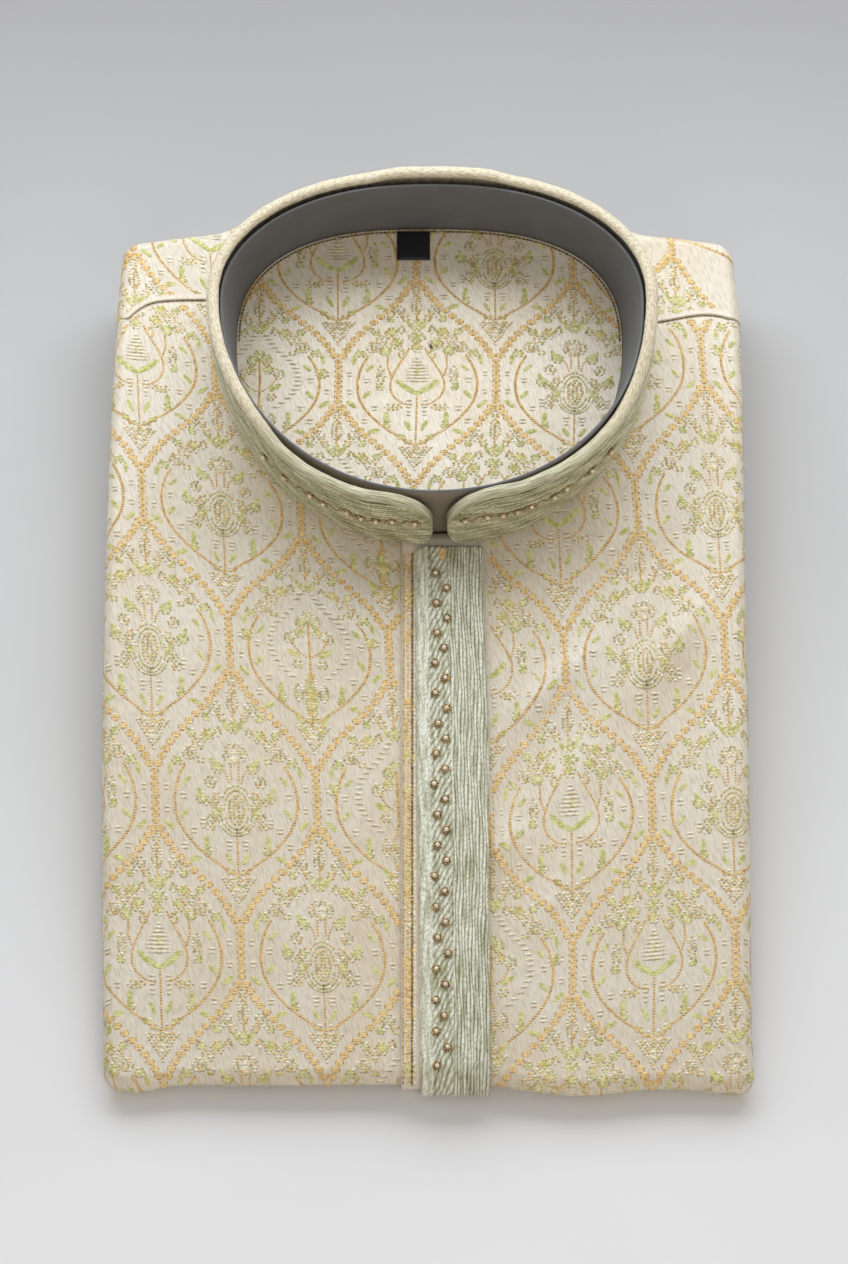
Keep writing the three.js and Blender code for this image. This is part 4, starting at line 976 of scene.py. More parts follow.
def oval_threads(x, y, width, height, degrees):
    """Level threads that fill a turned oval, a row for each pick of the weft. Each row's ends are
    the roots of the oval's equation at its height."""
    c, s = np.cos(np.radians(degrees)), np.sin(np.radians(degrees))
    a, b = width / 2, height / 2
    reach = np.hypot(a * s, b * c)
    rows = max(1, round(2 * reach / FLOAT_PITCH))
    dy = ((np.arange(rows) + 0.5) / rows * 2 - 1) * reach
    qa = c * c / a**2 + s * s / b**2
    qb = 2 * dy * c * s * (1 / a**2 - 1 / b**2)
    qc = dy**2 * (s * s / a**2 + c * c / b**2) - 1
    root = np.sqrt(np.maximum(qb**2 - 4 * qa * qc, 0))
    length = np.maximum(root / qa, FLOAT_SHORTEST) + FLOAT_END
    level = np.zeros(rows)
    return np.stack([x - qb / (2 * qa), y + dy, length, level + FLOAT_WIDTH, level], -1)


def knot_grid(x, y, width, height, half_at):
    """Knots in staggered rows, within half_at(share of the height) times the width of the middle."""
    knots = []
    rows = max(1, round(height / KNOT_ROW))
    for i in range(rows):
        share = (i + 0.5) / rows
        half = max(0.4, width / 2 * half_at(share))
        count = max(1, round(2 * half / KNOT_STEP))
        for j in range(count):
            dx = ((j + 0.5) / count * 2 - 1) * half
            # No two knots are quite alike.
            wave = 0.2 * np.sin(5.1 * i + 2.3 * j)
            knots.append((x + dx + wave, y + (share - 0.5) * height - 0.5 * wave, KNOT[0] + wave,
                          KNOT[1], KNOT_TURNS[(i + j) % 2]))
    return np.array(knots, float)


def arc_knots(x, y, rx, ry, start, end):
    """Knots along an arc of an oval."""
    length = np.radians(abs(end - start)) * (rx + ry) / 2
    turn = np.radians(np.linspace(start, end, max(2, round(length / ARC_KNOT_STEP))))
    along = np.arctan2(ry * np.cos(turn), -rx * np.sin(turn))
    long, wide = (size * np.ones_like(turn) for size in ARC_KNOT)
    return np.stack([x + rx * np.cos(turn), y + ry * np.sin(turn), long, wide, along], -1)


def shape_threads(shape, rest):
    """The threads of one row of a chart, as (colour, threads) pairs."""
    if shape == "stem":
        return stem_threads(*rest)
    if shape == "bars":
        x, bars = rest
        at = np.array(bars, float)
        level = np.zeros(len(at))
        lights = np.stack([x + level, at[:, 0], at[:, 1], level + BAR_FLOAT_WIDTH, level], -1)
        # Each cream float gets a taupe thread just below it as its painted shadow.
        painted_shadows = np.stack([x + level, at[:, 0] - SHADE_DROP, at[:, 1] * 0.95, level + 0.75, level], -1)
        return [("cream", lights), ("shade", painted_shadows)]
    first, *rest = rest
    if shape == "oval":
        return [(first, oval_threads(*rest))]
    if shape == "arc":
        knots = arc_knots(*rest)
    elif shape == "fan":
        x, y, width, height = rest
        knots = knot_grid(x, y - height / 2, width, height, lambda share: share)
    else:
        knots = knot_grid(*rest, lambda share: np.sqrt(max(0.02, 1 - (2 * share - 1) ** 2)))
    # Each knot gets a taupe thread just below it as its painted shadow.
    parts = [("shade", knots * [1, 1, 1, 0.7, 1] - [0, SHADE_DROP, 0, 0, 0])]
    if shape == "knots" and first in (GREENS, MIXED):
        x, y, width, height = rest
        leaf = oval_threads(x, y, LEAF_FILL[0] * width, LEAF_FILL[1] * height, 20 * np.sign(x))
        parts.append(("leaf", leaf))
    picks = (np.arange(len(knots)) * 3 + np.arange(len(knots)) // 4) % len(first)
    for thread in sorted(set(first)):
        own = [k for k, name in enumerate(first) if name == thread]
        parts.append((thread, knots[np.isin(picks, own)]))
    return parts


def chart_threads(sides, middle):
    """All threads of a chart, by colour. The sides are repeated in the mirror."""
    found = {}
    for shapes, both in ((sides, True), (middle, False)):
        for shape, *rest in shapes:
            for thread, rows in shape_threads(shape, rest):
                found.setdefault(thread, []).append(rows)
                if both:
                    found[thread].append(rows * [-1, 1, 1, 1, -1])
    return {thread: np.concatenate(rows) for thread, rows in found.items()}


def dot_threads(x, y, wide, high):
    """A square dot of the lattice: three gold floats, with ochre threads at its sides and foot as its
    painted shade.
    """
    gold = [(x, y + dy * high, length * wide, 0.4 * high, 0.1)
            for dy, length in ((-0.28, 0.86), (0.02, 1.0), (0.31, 0.86))]
    ochre = [(x - 0.46 * wide, y, 0.8 * high, 0.6, 1.45), (x + 0.46 * wide, y, 0.8 * high, 0.6, 1.7),
             (x, y - 0.46 * high, 0.85 * wide, 0.5, 0)]
    return gold, ochre


def lattice_threads():
    """A bar and the two diagonals that rise from it, from the middle of the bar."""
    dots = [(0, y, *BAR_DOT) for y in np.linspace(-BAR_HALF + 1, BAR_HALF - 1, BAR_DOTS)]
    rise = ROW_STEP - 2 * BAR_HALF
    for side in (-1, 1):
        for t in (np.arange(DIAGONAL_DOTS) + 0.5) / DIAGONAL_DOTS:
            sway = DIAGONAL_SWAY * np.sin(2 * np.pi * t)
            dots.append((side * (1.0 + t * (REPEAT_WIDTH / 2 - 2) - sway),
                         BAR_HALF + 0.4 + t * (rise - 0.8), *DIAGONAL_DOT))
    parts = [dot_threads(*dot) for dot in dots]
    return {name: np.array(sum((part[k] for part in parts), []), float)
            for k, name in enumerate(("gold", "ochre"))}


def laid_threads(threads, lay, row, across):
    """Threads of a chart, laid in a panel by its lattice rows."""
    at_row = row - threads[:, 1] / ROW_STEP
    y0, x0, tilt = (np.interp(at_row, lay[:, 0], lay[:, k]) for k in (1, 2, 3))
    placed = threads.copy()
    u = across + threads[:, 0]
    placed[:, 0] = x0 + u
    placed[:, 1] = y0 + tilt * u
    placed[:, 4] += np.arctan(tilt)
    return placed


def panel_threads(lay, rows, keep):
    """Every thread of a panel's brocade, by colour. keep says which points lie on the panel."""
    shared, middle = GARLAND + PLANT_SIDES, PLANT_MIDDLE + BASE
    charts = {
        "bush": chart_threads(shared + BUSH_SIDES, middle + BUSH_MIDDLE),
        "teardrop": chart_threads(shared + TEARDROP_SIDES, middle + TEARDROP_MIDDLE),
        "sprig": chart_threads(shared + SPRIG_SIDES, middle + SPRIG_MIDDLE),
    }
    lattice = lattice_threads()
    found = {}
    first, last = int(lay[0, 0]), int(lay[-1, 0])
    for row in range(first, last + 1):
        half = REPEAT_WIDTH / 2
        for column in range(-4, 5):
            bar = column * REPEAT_WIDTH + (half if row % 2 else 0)
            for thread, threads in lattice.items():
                found.setdefault(thread, []).append(laid_threads(threads, lay, row, bar))
            if row in rows:
                cell = column * REPEAT_WIDTH + (0 if row % 2 else half)
                chart = CHART_ORDER[(rows[row] + column) % 3]
                for thread, threads in charts[chart].items():
                    found.setdefault(thread, []).append(laid_threads(threads, lay, row, cell))
    placed = {}
    for thread, parts in found.items():
        threads = np.concatenate(parts)
        placed[thread] = threads[keep(threads[:, 0], threads[:, 1])]
    return placed


def weave_panel(name, point_at, threads):
    """The raised threads of a panel as one piece."""
    parts = [
        lay_threads(f"{name}_{thread}", point_at, rows, thread,
                    LOW_THREADS.get(thread, THREAD_HEIGHT))
        for thread, rows in sorted(threads.items()) if len(rows)
    ]
    return join_pieces(name, parts)


def on_cloth(x, y):
    """Whether a point of the upper cloth is outside the neck and not yet round under its fold."""
    beyond, _, _ = cloth_beyond(x, y)
    return (neck_ratio(x, y) > 0.99) & (beyond < FOLD_RADIUS * np.pi * 0.97)


# ---- Rays round the folded body ----


def neck_at(angle):
    """Point of the panels' neck edge, which is hidden under the collar."""
    return np.stack(egg_point(COLLAR_BASE, angle, NECK_HOLE_INSET), -1)


def rays(edge_x, edge_y, out_x, out_y, angle):
    """Rays from the neck edge to the edge of the flat top, with the outward way there."""
    edge_x, edge_y, out_x, out_y = np.broadcast_arrays(edge_x, edge_y, out_x, out_y)
    return {"edge": np.stack([edge_x, edge_y], -1), "out": np.stack([out_x, out_y], -1),
            "neck": neck_at(angle)}


def front_neck_angle(x):
    """Where on the neck a front's ray starts: straight behind x, and closer in at the sides."""
    past = np.maximum(np.abs(x) - FRONT_NECK_X, 0)
    target = np.sign(x) * (np.minimum(np.abs(x), FRONT_NECK_X) + FRONT_NECK_SHARE * past)
    return -np.arccos((target - COLLAR_BASE["x"]) / (COLLAR_BASE["half"] - NECK_HOLE_INSET))


def front_rays(x):
    """Rays to the front fold."""
    return rays(x, front_flat_edge(x), 0.0, -1.0, front_neck_angle(x))


def side_rays(side, y):
    """Rays to a side: -1 is the wearer's right."""
    behind = y - COLLAR_BASE["y"]
    before = FRONT_CORNER_TURNS[0] * behind / (-SIDE_END_Y - COLLAR_BASE["y"])
    angle = np.radians(np.where(behind > 0, SIDE_TURN_STEP * behind, before))
    angle = angle if side > 0 else np.pi - angle
    return rays(side_edge(side, y) - side * FOLD_RADIUS, y, float(side), 0.0, angle)


def corner_rays(side, end, degrees):
    """Rays at a corner: side is -1 or 1 in x, end is -1 or 1 in y, and the turn is 0 at the side."""
    edge_y = float((front_flat_edge if end < 0 else back_flat_edge)(side * CORNER_X))
    edge_x = abs(float(side_edge(side, edge_y))) - FOLD_RADIUS
    nx, ny = side * np.cos(np.radians(degrees)), end * np.sin(np.radians(degrees))
    turn = lerp(*(FRONT_CORNER_TURNS if end < 0 else BACK_CORNER_TURNS), degrees / 90)
    angle = np.radians(turn if side > 0 else 180 - turn)
    return rays(side * (edge_x - CORNER_RADIUS) + CORNER_RADIUS * nx,
                edge_y - end * CORNER_RADIUS + CORNER_RADIUS * ny, nx, ny, angle)


def back_rays(x):
    """Rays to the back fold."""
    turn = lerp(*BACK_TURNS, np.abs(x) / BACK_END_X)
    return rays(x, back_flat_edge(x), 0.0, 1.0, np.radians(np.where(x >= 0, turn, 180 - turn)))


def join_rays(*parts):
    """One set of rays from several."""
    return {key: np.concatenate([part[key] for part in parts]) for key in parts[0]}


def spaced(start, end, step):
    """Even places from start to end, about a step apart."""
    return np.linspace(start, end, max(2, round(abs(end - start) / step)))


def seam_line(side, t):
    """Points of a shoulder seam from the neck edge to the flat top's edge."""
    angles = np.radians(np.linspace(0, 60, 400))
    nx, ny = neck_at(angles if side > 0 else np.pi - angles).T
    start = nx[np.argmin(np.abs(ny - seam_y(nx)))]
    y_edge = float(seam_y(side * SEAM_END_X))
    end = float(side_edge(side, y_edge)) - side * FOLD_RADIUS
    x = lerp(start, end, t)
    return np.stack([x, seam_y(x)], -1)


def panel_grid(ray, first_seam=None, last_seam=None, gap=0.0):
    """Cloth coordinates of a panel: rows from the neck edge round the rolled edge, columns by ray.
    A seam bends the rays near it to its own line, moved by the gap."""
    steps = np.concatenate([np.linspace(0, 1, PANEL_ROWS), [1] * (len(ROLL_TURNS) + 1)])
    rolled = np.concatenate([np.zeros(PANEL_ROWS), np.radians(ROLL_TURNS) * FOLD_RADIUS,
                             [np.pi * FOLD_RADIUS + TUCK]])
    grid = (lerp(ray["neck"][None], ray["edge"][None], steps[:, None, None])
            + ray["out"][None] * rolled[:, None, None])
    for seam, index in ((first_seam, 0), (last_seam, -1)):
        if seam is None:
            continue
        line = seam_line(seam, steps) + np.array([0, gap])
        bend = line - lerp(ray["neck"][index], ray["edge"][index], steps[:, None])
        away = np.hypot(*(ray["edge"] - ray["edge"][index]).T)
        grid += bend[:, None] * (1 - smooth(0, SEAM_BEND, away))[None, :, None]
    return grid


# ---- Settings ----


class KurtaSettings(bpy.types.PropertyGroup):
    """Sizes and colours that a user would change."""

    shell: bpy.props.FloatProperty(
        name="Cloth", description="Thickness of one ply of the faced cloth", default=SHELL * MM,
        min=0.0005, max=0.0015, unit="LENGTH")
    bead_size: bpy.props.FloatProperty(
        name="Bead ring", description="Width of a ring of brass beads", default=2.8 * MM,
        min=0.001, max=0.005, unit="LENGTH")
    bead_step: bpy.props.FloatProperty(
        name="Bead step", default=12.1 * MM, min=0.006, max=0.03, unit="LENGTH",
        description="Distance along the placket from one bead to the next on its side")
    stitch_length: bpy.props.FloatProperty(
        name="Stitch", description="Length of one seam stitch", default=2.4 * MM,
        min=0.001, max=0.006, unit="LENGTH")
    thread_pitch: bpy.props.FloatProperty(
        name="Thread pitch", description="Distance between neighbouring threads of the threadwork",
        default=1.17 * MM, min=0.0008, max=0.003, unit="LENGTH")
    cloth_colour: bpy.props.FloatVectorProperty(
        name="Cloth", description="Colour of the brocade's ground", default=srgb("#e2daca")[:3],
        min=0, max=1, subtype="COLOR")
    gold_colour: bpy.props.FloatVectorProperty(
        name="Gold thread", description="Colour of the lattice and the stems",
        default=srgb("#efcf88")[:3], min=0, max=1, subtype="COLOR")
    leaf_colour: bpy.props.FloatVectorProperty(
        name="Leaf thread", description="Colour of the leaves and buds",
        default=srgb("#e0dc97")[:3], min=0, max=1, subtype="COLOR")
    threadwork_colour: bpy.props.FloatVectorProperty(
        name="Threadwork", description="Colour of the threads of the collar and placket",
        default=srgb("#eceee0")[:3], min=0, max=1, subtype="COLOR")
    camera_height: bpy.props.FloatProperty(
        name="Camera angle", description="Angle of the camera above the floor",
        default=np.radians(57), subtype="ANGLE")
    camera_distance: bpy.props.FloatProperty(
        name="Camera distance", description="Distance from the camera to the kurta", default=3.209,
        unit="LENGTH")


def settings():
    """The sizes and colours of this scene."""
    return bpy.context.scene.kurta


def dress(piece, node):
    """Puts a piece in the place of a node."""
    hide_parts(node)
    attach(piece, "root")


def follow(piece):
    """A piece that lies on another."""
    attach(piece, "root")


# ---- Pieces ----


def stitch_row(name, point_at, x, y, material, length, gap=0.33, rise=0.06, width=0.5, slant=0.0):
    """Stitches along a line in the cloth, with a gap of a share of their length between them."""
    run = np.concatenate([[0], np.cumsum(np.hypot(np.diff(x), np.diff(y)))])
    count = int(run[-1] / (length * (1 + gap)))
    at = (np.arange(count) + 0.5) * run[-1] / count
    px, py = np.interp(at, run, x), np.interp(at, run, y)
    turn = np.arctan2(np.interp(at + 0.5, run, y) - np.interp(at - 0.5, run, y),
                      np.interp(at + 0.5, run, x) - np.interp(at - 0.5, run, x))
    rows = np.stack([px, py, np.full(count, length), np.full(count, width), turn + slant], -1)
    return lay_threads(name, point_at, rows, material, THREAD_HEIGHT, rise)


# Each hidden layer: its share of the stack's height, the share below it, how far its edge is set in,
# the wave of the edge and where that wave starts.
LAYERS = (
    (0.27, 0.0, 2.6, 0.5, 0.4), (0.23, 0.27, 1.7, 0.6, 1.9), (0.21, 0.5, 2.4, 0.5, 3.3),
    (0.29, 0.71, 1.3, 0.4, 4.6),
)
LAYER_ROUNDING = 2.4
LAYERS_SET_BACK = 8.0             # how far the layers lie behind the front fold
LAYERS_ROOT = -3.2                # how far out the solid is between the stack and the rolled edge


class KURTA_OT_layers(bpy.types.Operator):
    """The hidden layers: one rounded solid, with its folded edges parted at the sides"""

    bl_idname = "kurta.layers"
    bl_label = "Folded layers"

    def execute(self, context):
        around = join_rays(
            front_rays(spaced(-FRONT_END_X, FRONT_END_X, 3.5)),
            corner_rays(1, -1, CORNER_DEGREES[::-1]),
            side_rays(1, spaced(-SIDE_END_Y, SIDE_END_Y, 4)), corner_rays(1, 1, CORNER_DEGREES),
            back_rays(spaced(BACK_END_X, -BACK_END_X, 4)), corner_rays(-1, 1, CORNER_DEGREES[::-1]),
            side_rays(-1, spaced(SIDE_END_Y, -SIDE_END_Y, 4)), corner_rays(-1, -1, CORNER_DEGREES))
        edge, out = around["edge"], around["out"]
        top = plain_top(edge[:, 0], edge[:, 1])
        stack = top - 2 * FOLD_RADIUS - 0.4
        set_back = LAYERS_SET_BACK * np.maximum(0, -out[:, 1])
        run = np.cumsum(np.hypot(*np.diff(edge, axis=0, prepend=edge[:1]).T))

        def ring(reach, z):
            return np.column_stack([edge + out * np.reshape(reach, (-1, 1)), z])

        loops = []
        for share, below, inset, wave, phase in LAYERS:
            high = stack * share
            rounding = np.minimum(LAYER_ROUNDING, high / 2)
            sway = wave * np.sin(run / 41 + phase) + 0.5 * wave * np.sin(run / 17 + 2 * phase)
            for degrees in (-90, -60, -30, 0, 30, 60, 90):
                turn = np.radians(degrees)
                reach = FOLD_RADIUS - inset - sway - rounding * (1 - np.cos(turn)) - set_back
                loops.append(ring(reach, stack * below + high * (0.5 + 0.5 * np.sin(turn))))
        root = LAYERS_ROOT - set_back
        centre = top - FOLD_RADIUS
        tongue = FOLD_RADIUS - WALL - 0.4
        loops += [ring(root, stack), ring(root, centre - tongue)]
        for degrees in (180, 140, 100, 60, 20):
            turn = np.radians(degrees)
            loops.append(ring(tongue * np.sin(turn), centre + tongue * np.cos(turn)))
        # The top, in to the neck and then lower across it.
        middle = np.array([[COLLAR_BASE["x"], COLLAR_BASE["y"]]])
        angle = np.arctan2(*(around["neck"] - middle).T[::-1])
        neck = np.stack(egg_point(COLLAR_BASE, angle, 1.0), -1)
        for inner, outer, below, shares in ((neck, edge, WALL + 1.4, (0.95, 0.7, 0.45, 0.2, 0.0)),
                                            (middle, neck, 3.7, (0.99, 0.6, 0.25))):
            for share in shares:
                at = lerp(inner, outer, share)
                loops.append(np.column_stack([at, plain_top(*at.T) - below]))
        points = np.array(loops)
        rows, columns = points.shape[:2]
        faces = grid_faces(rows, columns, wrap=True)[:, ::-1].tolist()
        hubs = [points[0].mean(0), points[-1].mean(0)]
        low, high = rows * columns, rows * columns + 1
        last = (rows - 1) * columns
        for j in range(columns):
            k = (j + 1) % columns
            faces.append([k, j, low])
            faces.append([last + j, last + k, high])
        flat = np.concatenate([points.reshape(-1, 3), np.array(hubs)])
        height = np.concatenate([np.repeat(np.arange(rows), columns) * 2.0, [0, rows * 2.0]])
        along = np.concatenate([np.tile(run, rows), [0, 0]])
        piece = new_piece("folded_layers_cloth", flat, faces, "layers",
                          uv=np.column_stack([height, along]))
        dress(piece, "folded_layers")
        return {"FINISHED"}


# Rows of stitches beside the lap's edge: distance from it, thread, length of a stitch, gap as a share
# of it, width and slant. One without a length takes that of the settings.
LAP_ROWS = (
    (0.6, "ochre", 2.0, -0.3, 0.8, 0.4), (2.2, "gold", 1.7, -0.1, 1.1, 0.5),
    # The wide brown row also paints the deep shade beside the placket.
    (3.75, "seam", 3.0, -0.5, 1.1, 0.0), (4.8, "cream", None, -0.3, 1.0, 0.4),
)
COLUMN_STEP = 2.4                 # distance between a panel's columns at its front edge
SIDE_COLUMN_STEP = 2.6
BAND_COLUMN_STEP = 1.3            # the same near the placket
SEAM_LIP = 1.6                    # width of the cloth that dips or stands proud at a seam


class KURTA_OT_fronts(bpy.types.Operator):
    """The two fronts and the back yoke, rolled round the folded edges, with their woven motifs"""

    bl_idname = "kurta.fronts"
    bl_label = "Fronts and yoke"

    def execute(self, context):
        left_y, right_y = float(seam_y(SEAM_END_X)), float(seam_y(-SEAM_END_X))
        right = join_rays(
            side_rays(-1, np.concatenate([right_y - SEAM_STEPS,
                                          spaced(right_y - 6, -SIDE_END_Y, SIDE_COLUMN_STEP)])),
            corner_rays(-1, -1, CORNER_DEGREES),
            front_rays(spaced(-FRONT_END_X, UNDERLAP_EDGE_X, COLUMN_STEP)))
        left = join_rays(
            front_rays(np.concatenate([LAP_EDGE_X + LAP_STEPS, spaced(-8.0, 30, BAND_COLUMN_STEP),
                                       spaced(32.4, FRONT_END_X, COLUMN_STEP)])),
            corner_rays(1, -1, CORNER_DEGREES[::-1]),
            side_rays(1, np.concatenate([spaced(-SIDE_END_Y, left_y - 6, SIDE_COLUMN_STEP),
                                         left_y - SEAM_STEPS[::-1]])))
        yoke = join_rays(
            side_rays(1, np.concatenate([left_y + SEAM_STEPS[:-1],
                                         spaced(left_y + 4.5, SIDE_END_Y, SIDE_COLUMN_STEP)])),
            corner_rays(1, 1, CORNER_DEGREES),
            back_rays(spaced(BACK_END_X, -BACK_END_X, SIDE_COLUMN_STEP)),
            corner_rays(-1, 1, CORNER_DEGREES[::-1]),
            side_rays(-1, np.concatenate([spaced(SIDE_END_Y, right_y + 4.5, SIDE_COLUMN_STEP),
                                          right_y + SEAM_STEPS[-2::-1]])))

        # Where the motifs of each panel are kept: short of its seam, its lap edge and the placket.
        def keep_right(x, y):
            return on_cloth(x, y) & (x < LAP_EDGE_X - 1) & (y < seam_y(x) - 1.6)

        def keep_left(x, y):
            beside = (x < PLACKET_LEFT_X - 0.8) | (x > PLACKET_RIGHT_X + 0.8)
            return on_cloth(x, y) & (x > LAP_EDGE_X + 1.4) & (y < seam_y(x) - 1.6) & beside

        def keep_yoke(x, y):
            return on_cloth(x, y) & (y > seam_y(x) + 2.4)

        jobs = (
            ("front_right", right, (-1, None), cloth_point, False, LAY_RIGHT, "right", keep_right,
             (0.146, 0.335, 0.0405)),
            ("front_left", left, (None, 1), lapped_point, False, LAY_LEFT, "left", keep_left,
             (0.139, 0.335, 0.038)),
            ("back_yoke", yoke, (1, -1), cloth_point, True, LAY_RIGHT, "right", keep_yoke,
             (0.26, 0.078, 0.008)),
        )
        for node, ray, seams, point_at, raised, lay, rows, keep, (width, length, area) in jobs:
            grid = panel_grid(ray, *seams, gap=SEAM_GAP / 2 * (1 if raised else -1))
            x, y = grid[..., 0], grid[..., 1]
            near = np.abs(y - seam_y(x))
            # The yoke's edge is turned under and stands a little proud; the fronts go down to it.
            lip = np.where(np.abs(x) > 55, np.exp(-((near / SEAM_LIP) ** 2)), 0)
            points = point_at(x, y, 0.35 * lip if raised else -0.5 * lip)
            piece = new_piece(f"{node}_cloth", points, grid_faces(*x.shape), "brocade", uv=grid)
            thicken(piece, settings().shell / MM)
            dress(piece, node)
            threads = panel_threads(lay, ROW_CHARTS[rows], keep)
            motifs = weave_panel(f"{node}_motifs", point_at, threads)
            follow(motifs)
            if node != "front_right":
                self.stitches(node, point_at)
        return {"FINISHED"}

    def stitches(self, node, point_at):
        """Brown thread rows sunk in the shoulder seams on the yoke, painting the seams' shade, or
        topstitching of the lap edge on the left front.
        """
        parts = []
        if node == "back_yoke":
            for side in (-1, 1):
                # Painted shade: a brown row sunk in each shoulder seam, where its groove is in shade.
                x, y = seam_line(side, np.linspace(0.05, 1.0, 60)).T
                parts.append(stitch_row(f"shoulder_{side}", point_at, x, y, "seam", 3.0,
                                        gap=-0.4, rise=-0.5, width=0.9))
            seam = join_pieces("shoulder_stitches", parts)
        else:
            y = np.linspace(front_flat_edge(LAP_EDGE_X) - 6, 36, 200)
            for k, (off, thread, size, gap, width, slant) in enumerate(LAP_ROWS):
                x = np.full_like(y, LAP_EDGE_X + off)
                size = size or settings().stitch_length / MM
                parts.append(stitch_row(f"lap_{k}", point_at, x, y, thread, size,
                                        gap=gap, width=width, slant=slant))
            seam = join_pieces("lap_stitches", parts)
        follow(seam)
        return seam


class KURTA_OT_inner_back(bpy.types.Operator):
    """The inside of the back, seen through the neck, with its woven motifs and the blank label"""

    bl_idname = "kurta.inner_back"
    bl_label = "Inside back and label"

    def execute(self, context):
        angles = np.linspace(0, 2 * np.pi, 160, endpoint=False)
        ex, ey = egg_point(COLLAR_BASE, angles, NECK_HOLE_INSET - FLOOR_OVERLAP)
        steps = np.linspace(0.02, 1, 40)[:, None]
        x, y = lerp(COLLAR_BASE["x"], ex, steps), lerp(COLLAR_BASE["y"], ey, steps)
        piece = new_piece("back_inner_cloth", inner_point(x, y), grid_faces(*x.shape, wrap=True),
                          "inside", uv=np.stack([x, y], -1))
        thicken(piece, settings().shell / MM)
        dress(piece, "back_inner")

        def keep(px, py):
            """Inside the support's foot: an oval that is less deep behind than in front."""
            sx, sy = (px - SUPPORT_FOOT["x"]) / 71, py - SUPPORT_FOOT["y"]
            depth = np.where(sy > 0, 48.6, 77.0)
            return (sx**2 + (sy / depth) ** 2 < 1.16) & (neck_ratio(px, py) < 0.93)

        motifs = weave_panel("back_inner_motifs", inner_point,
                             panel_threads(LAY_INNER, ROW_CHARTS["inner"], keep))
        # Painted shadow: a brown thread row round the back half of the support's foot, where the
        # inside meets the band.
        turn = np.radians(np.linspace(4, 176, 200))
        foot_shadow = stitch_row("back_inner_hem", inner_point, *egg_point(SUPPORT_FOOT, turn, 2.0),
                         "seam", 2.6, gap=-0.4, width=1.0)
        for each in (motifs, foot_shadow):
            follow(each)

        half = LABEL_WIDTH / 2
        x, y = np.meshgrid(np.linspace(LABEL_X - half, LABEL_X + half, 14),
                           np.linspace(LABEL_BACK_Y - LABEL_LENGTH, LABEL_BACK_Y, 14))
        from_ends = np.minimum(LABEL_BACK_Y - y, y - LABEL_BACK_Y + LABEL_LENGTH)
        edge = np.minimum(half - np.abs(x - LABEL_X), from_ends)
        lift = -WALL + 0.55 + 0.4 * smooth(0, 1.6, edge)
        points = np.stack([x, y, plain_top(x, y) + lift], -1)
        label = new_piece("neck_label_ribbon", points.transpose(1, 0, 2),
                          grid_faces(14, 14), "label", uv=np.stack([x, y], -1).transpose(1, 0, 2))
        thicken(label, 0.6)
        dress(label, "neck_label")
        return {"FINISHED"}


def end_top(run):
    """Height of the band's top, which rounds down to the tip of each end."""
    back = np.maximum(0, 1 - run / COLLAR_END_TOP_RUN)
    return COLLAR_END_TIP + (COLLAR_HEIGHT - COLLAR_END_TIP) * np.sqrt(1 - back * back)


def end_low(run):
    """Height of the band's lower edge, which rounds up to the tip."""
    back = np.maximum(0, 1 - run / COLLAR_END_LOW_RUN)
    return COLLAR_END_TIP * (1 - np.sqrt(1 - back * back))


def collar_ends():
    """Angles of the band's left and right ends."""
    left, right = (np.arccos((x - COLLAR_BASE["x"]) / COLLAR_BASE["half"])
                   for x in (COLLAR_END_LEFT_X, COLLAR_END_RIGHT_X))
    return -left, 2 * np.pi - right


def collar_stations():
    """Angles round the band from its left end to its right one, and the run from the nearer end."""
    half = COLLAR_BASE["half"]
    start, end = collar_ends()
    ends = np.array([0.25, 0.6, 1.1, 1.8, 2.6, 3.6, 4.8, 6.2, 7.8, 9.6, 11.6, 14]) / half
    angle = np.concatenate([start + ends, np.linspace(start + 15 / half, end - 15 / half, 260),
                            end - ends[::-1]])
    return angle, np.minimum(angle - start, end - angle) * half


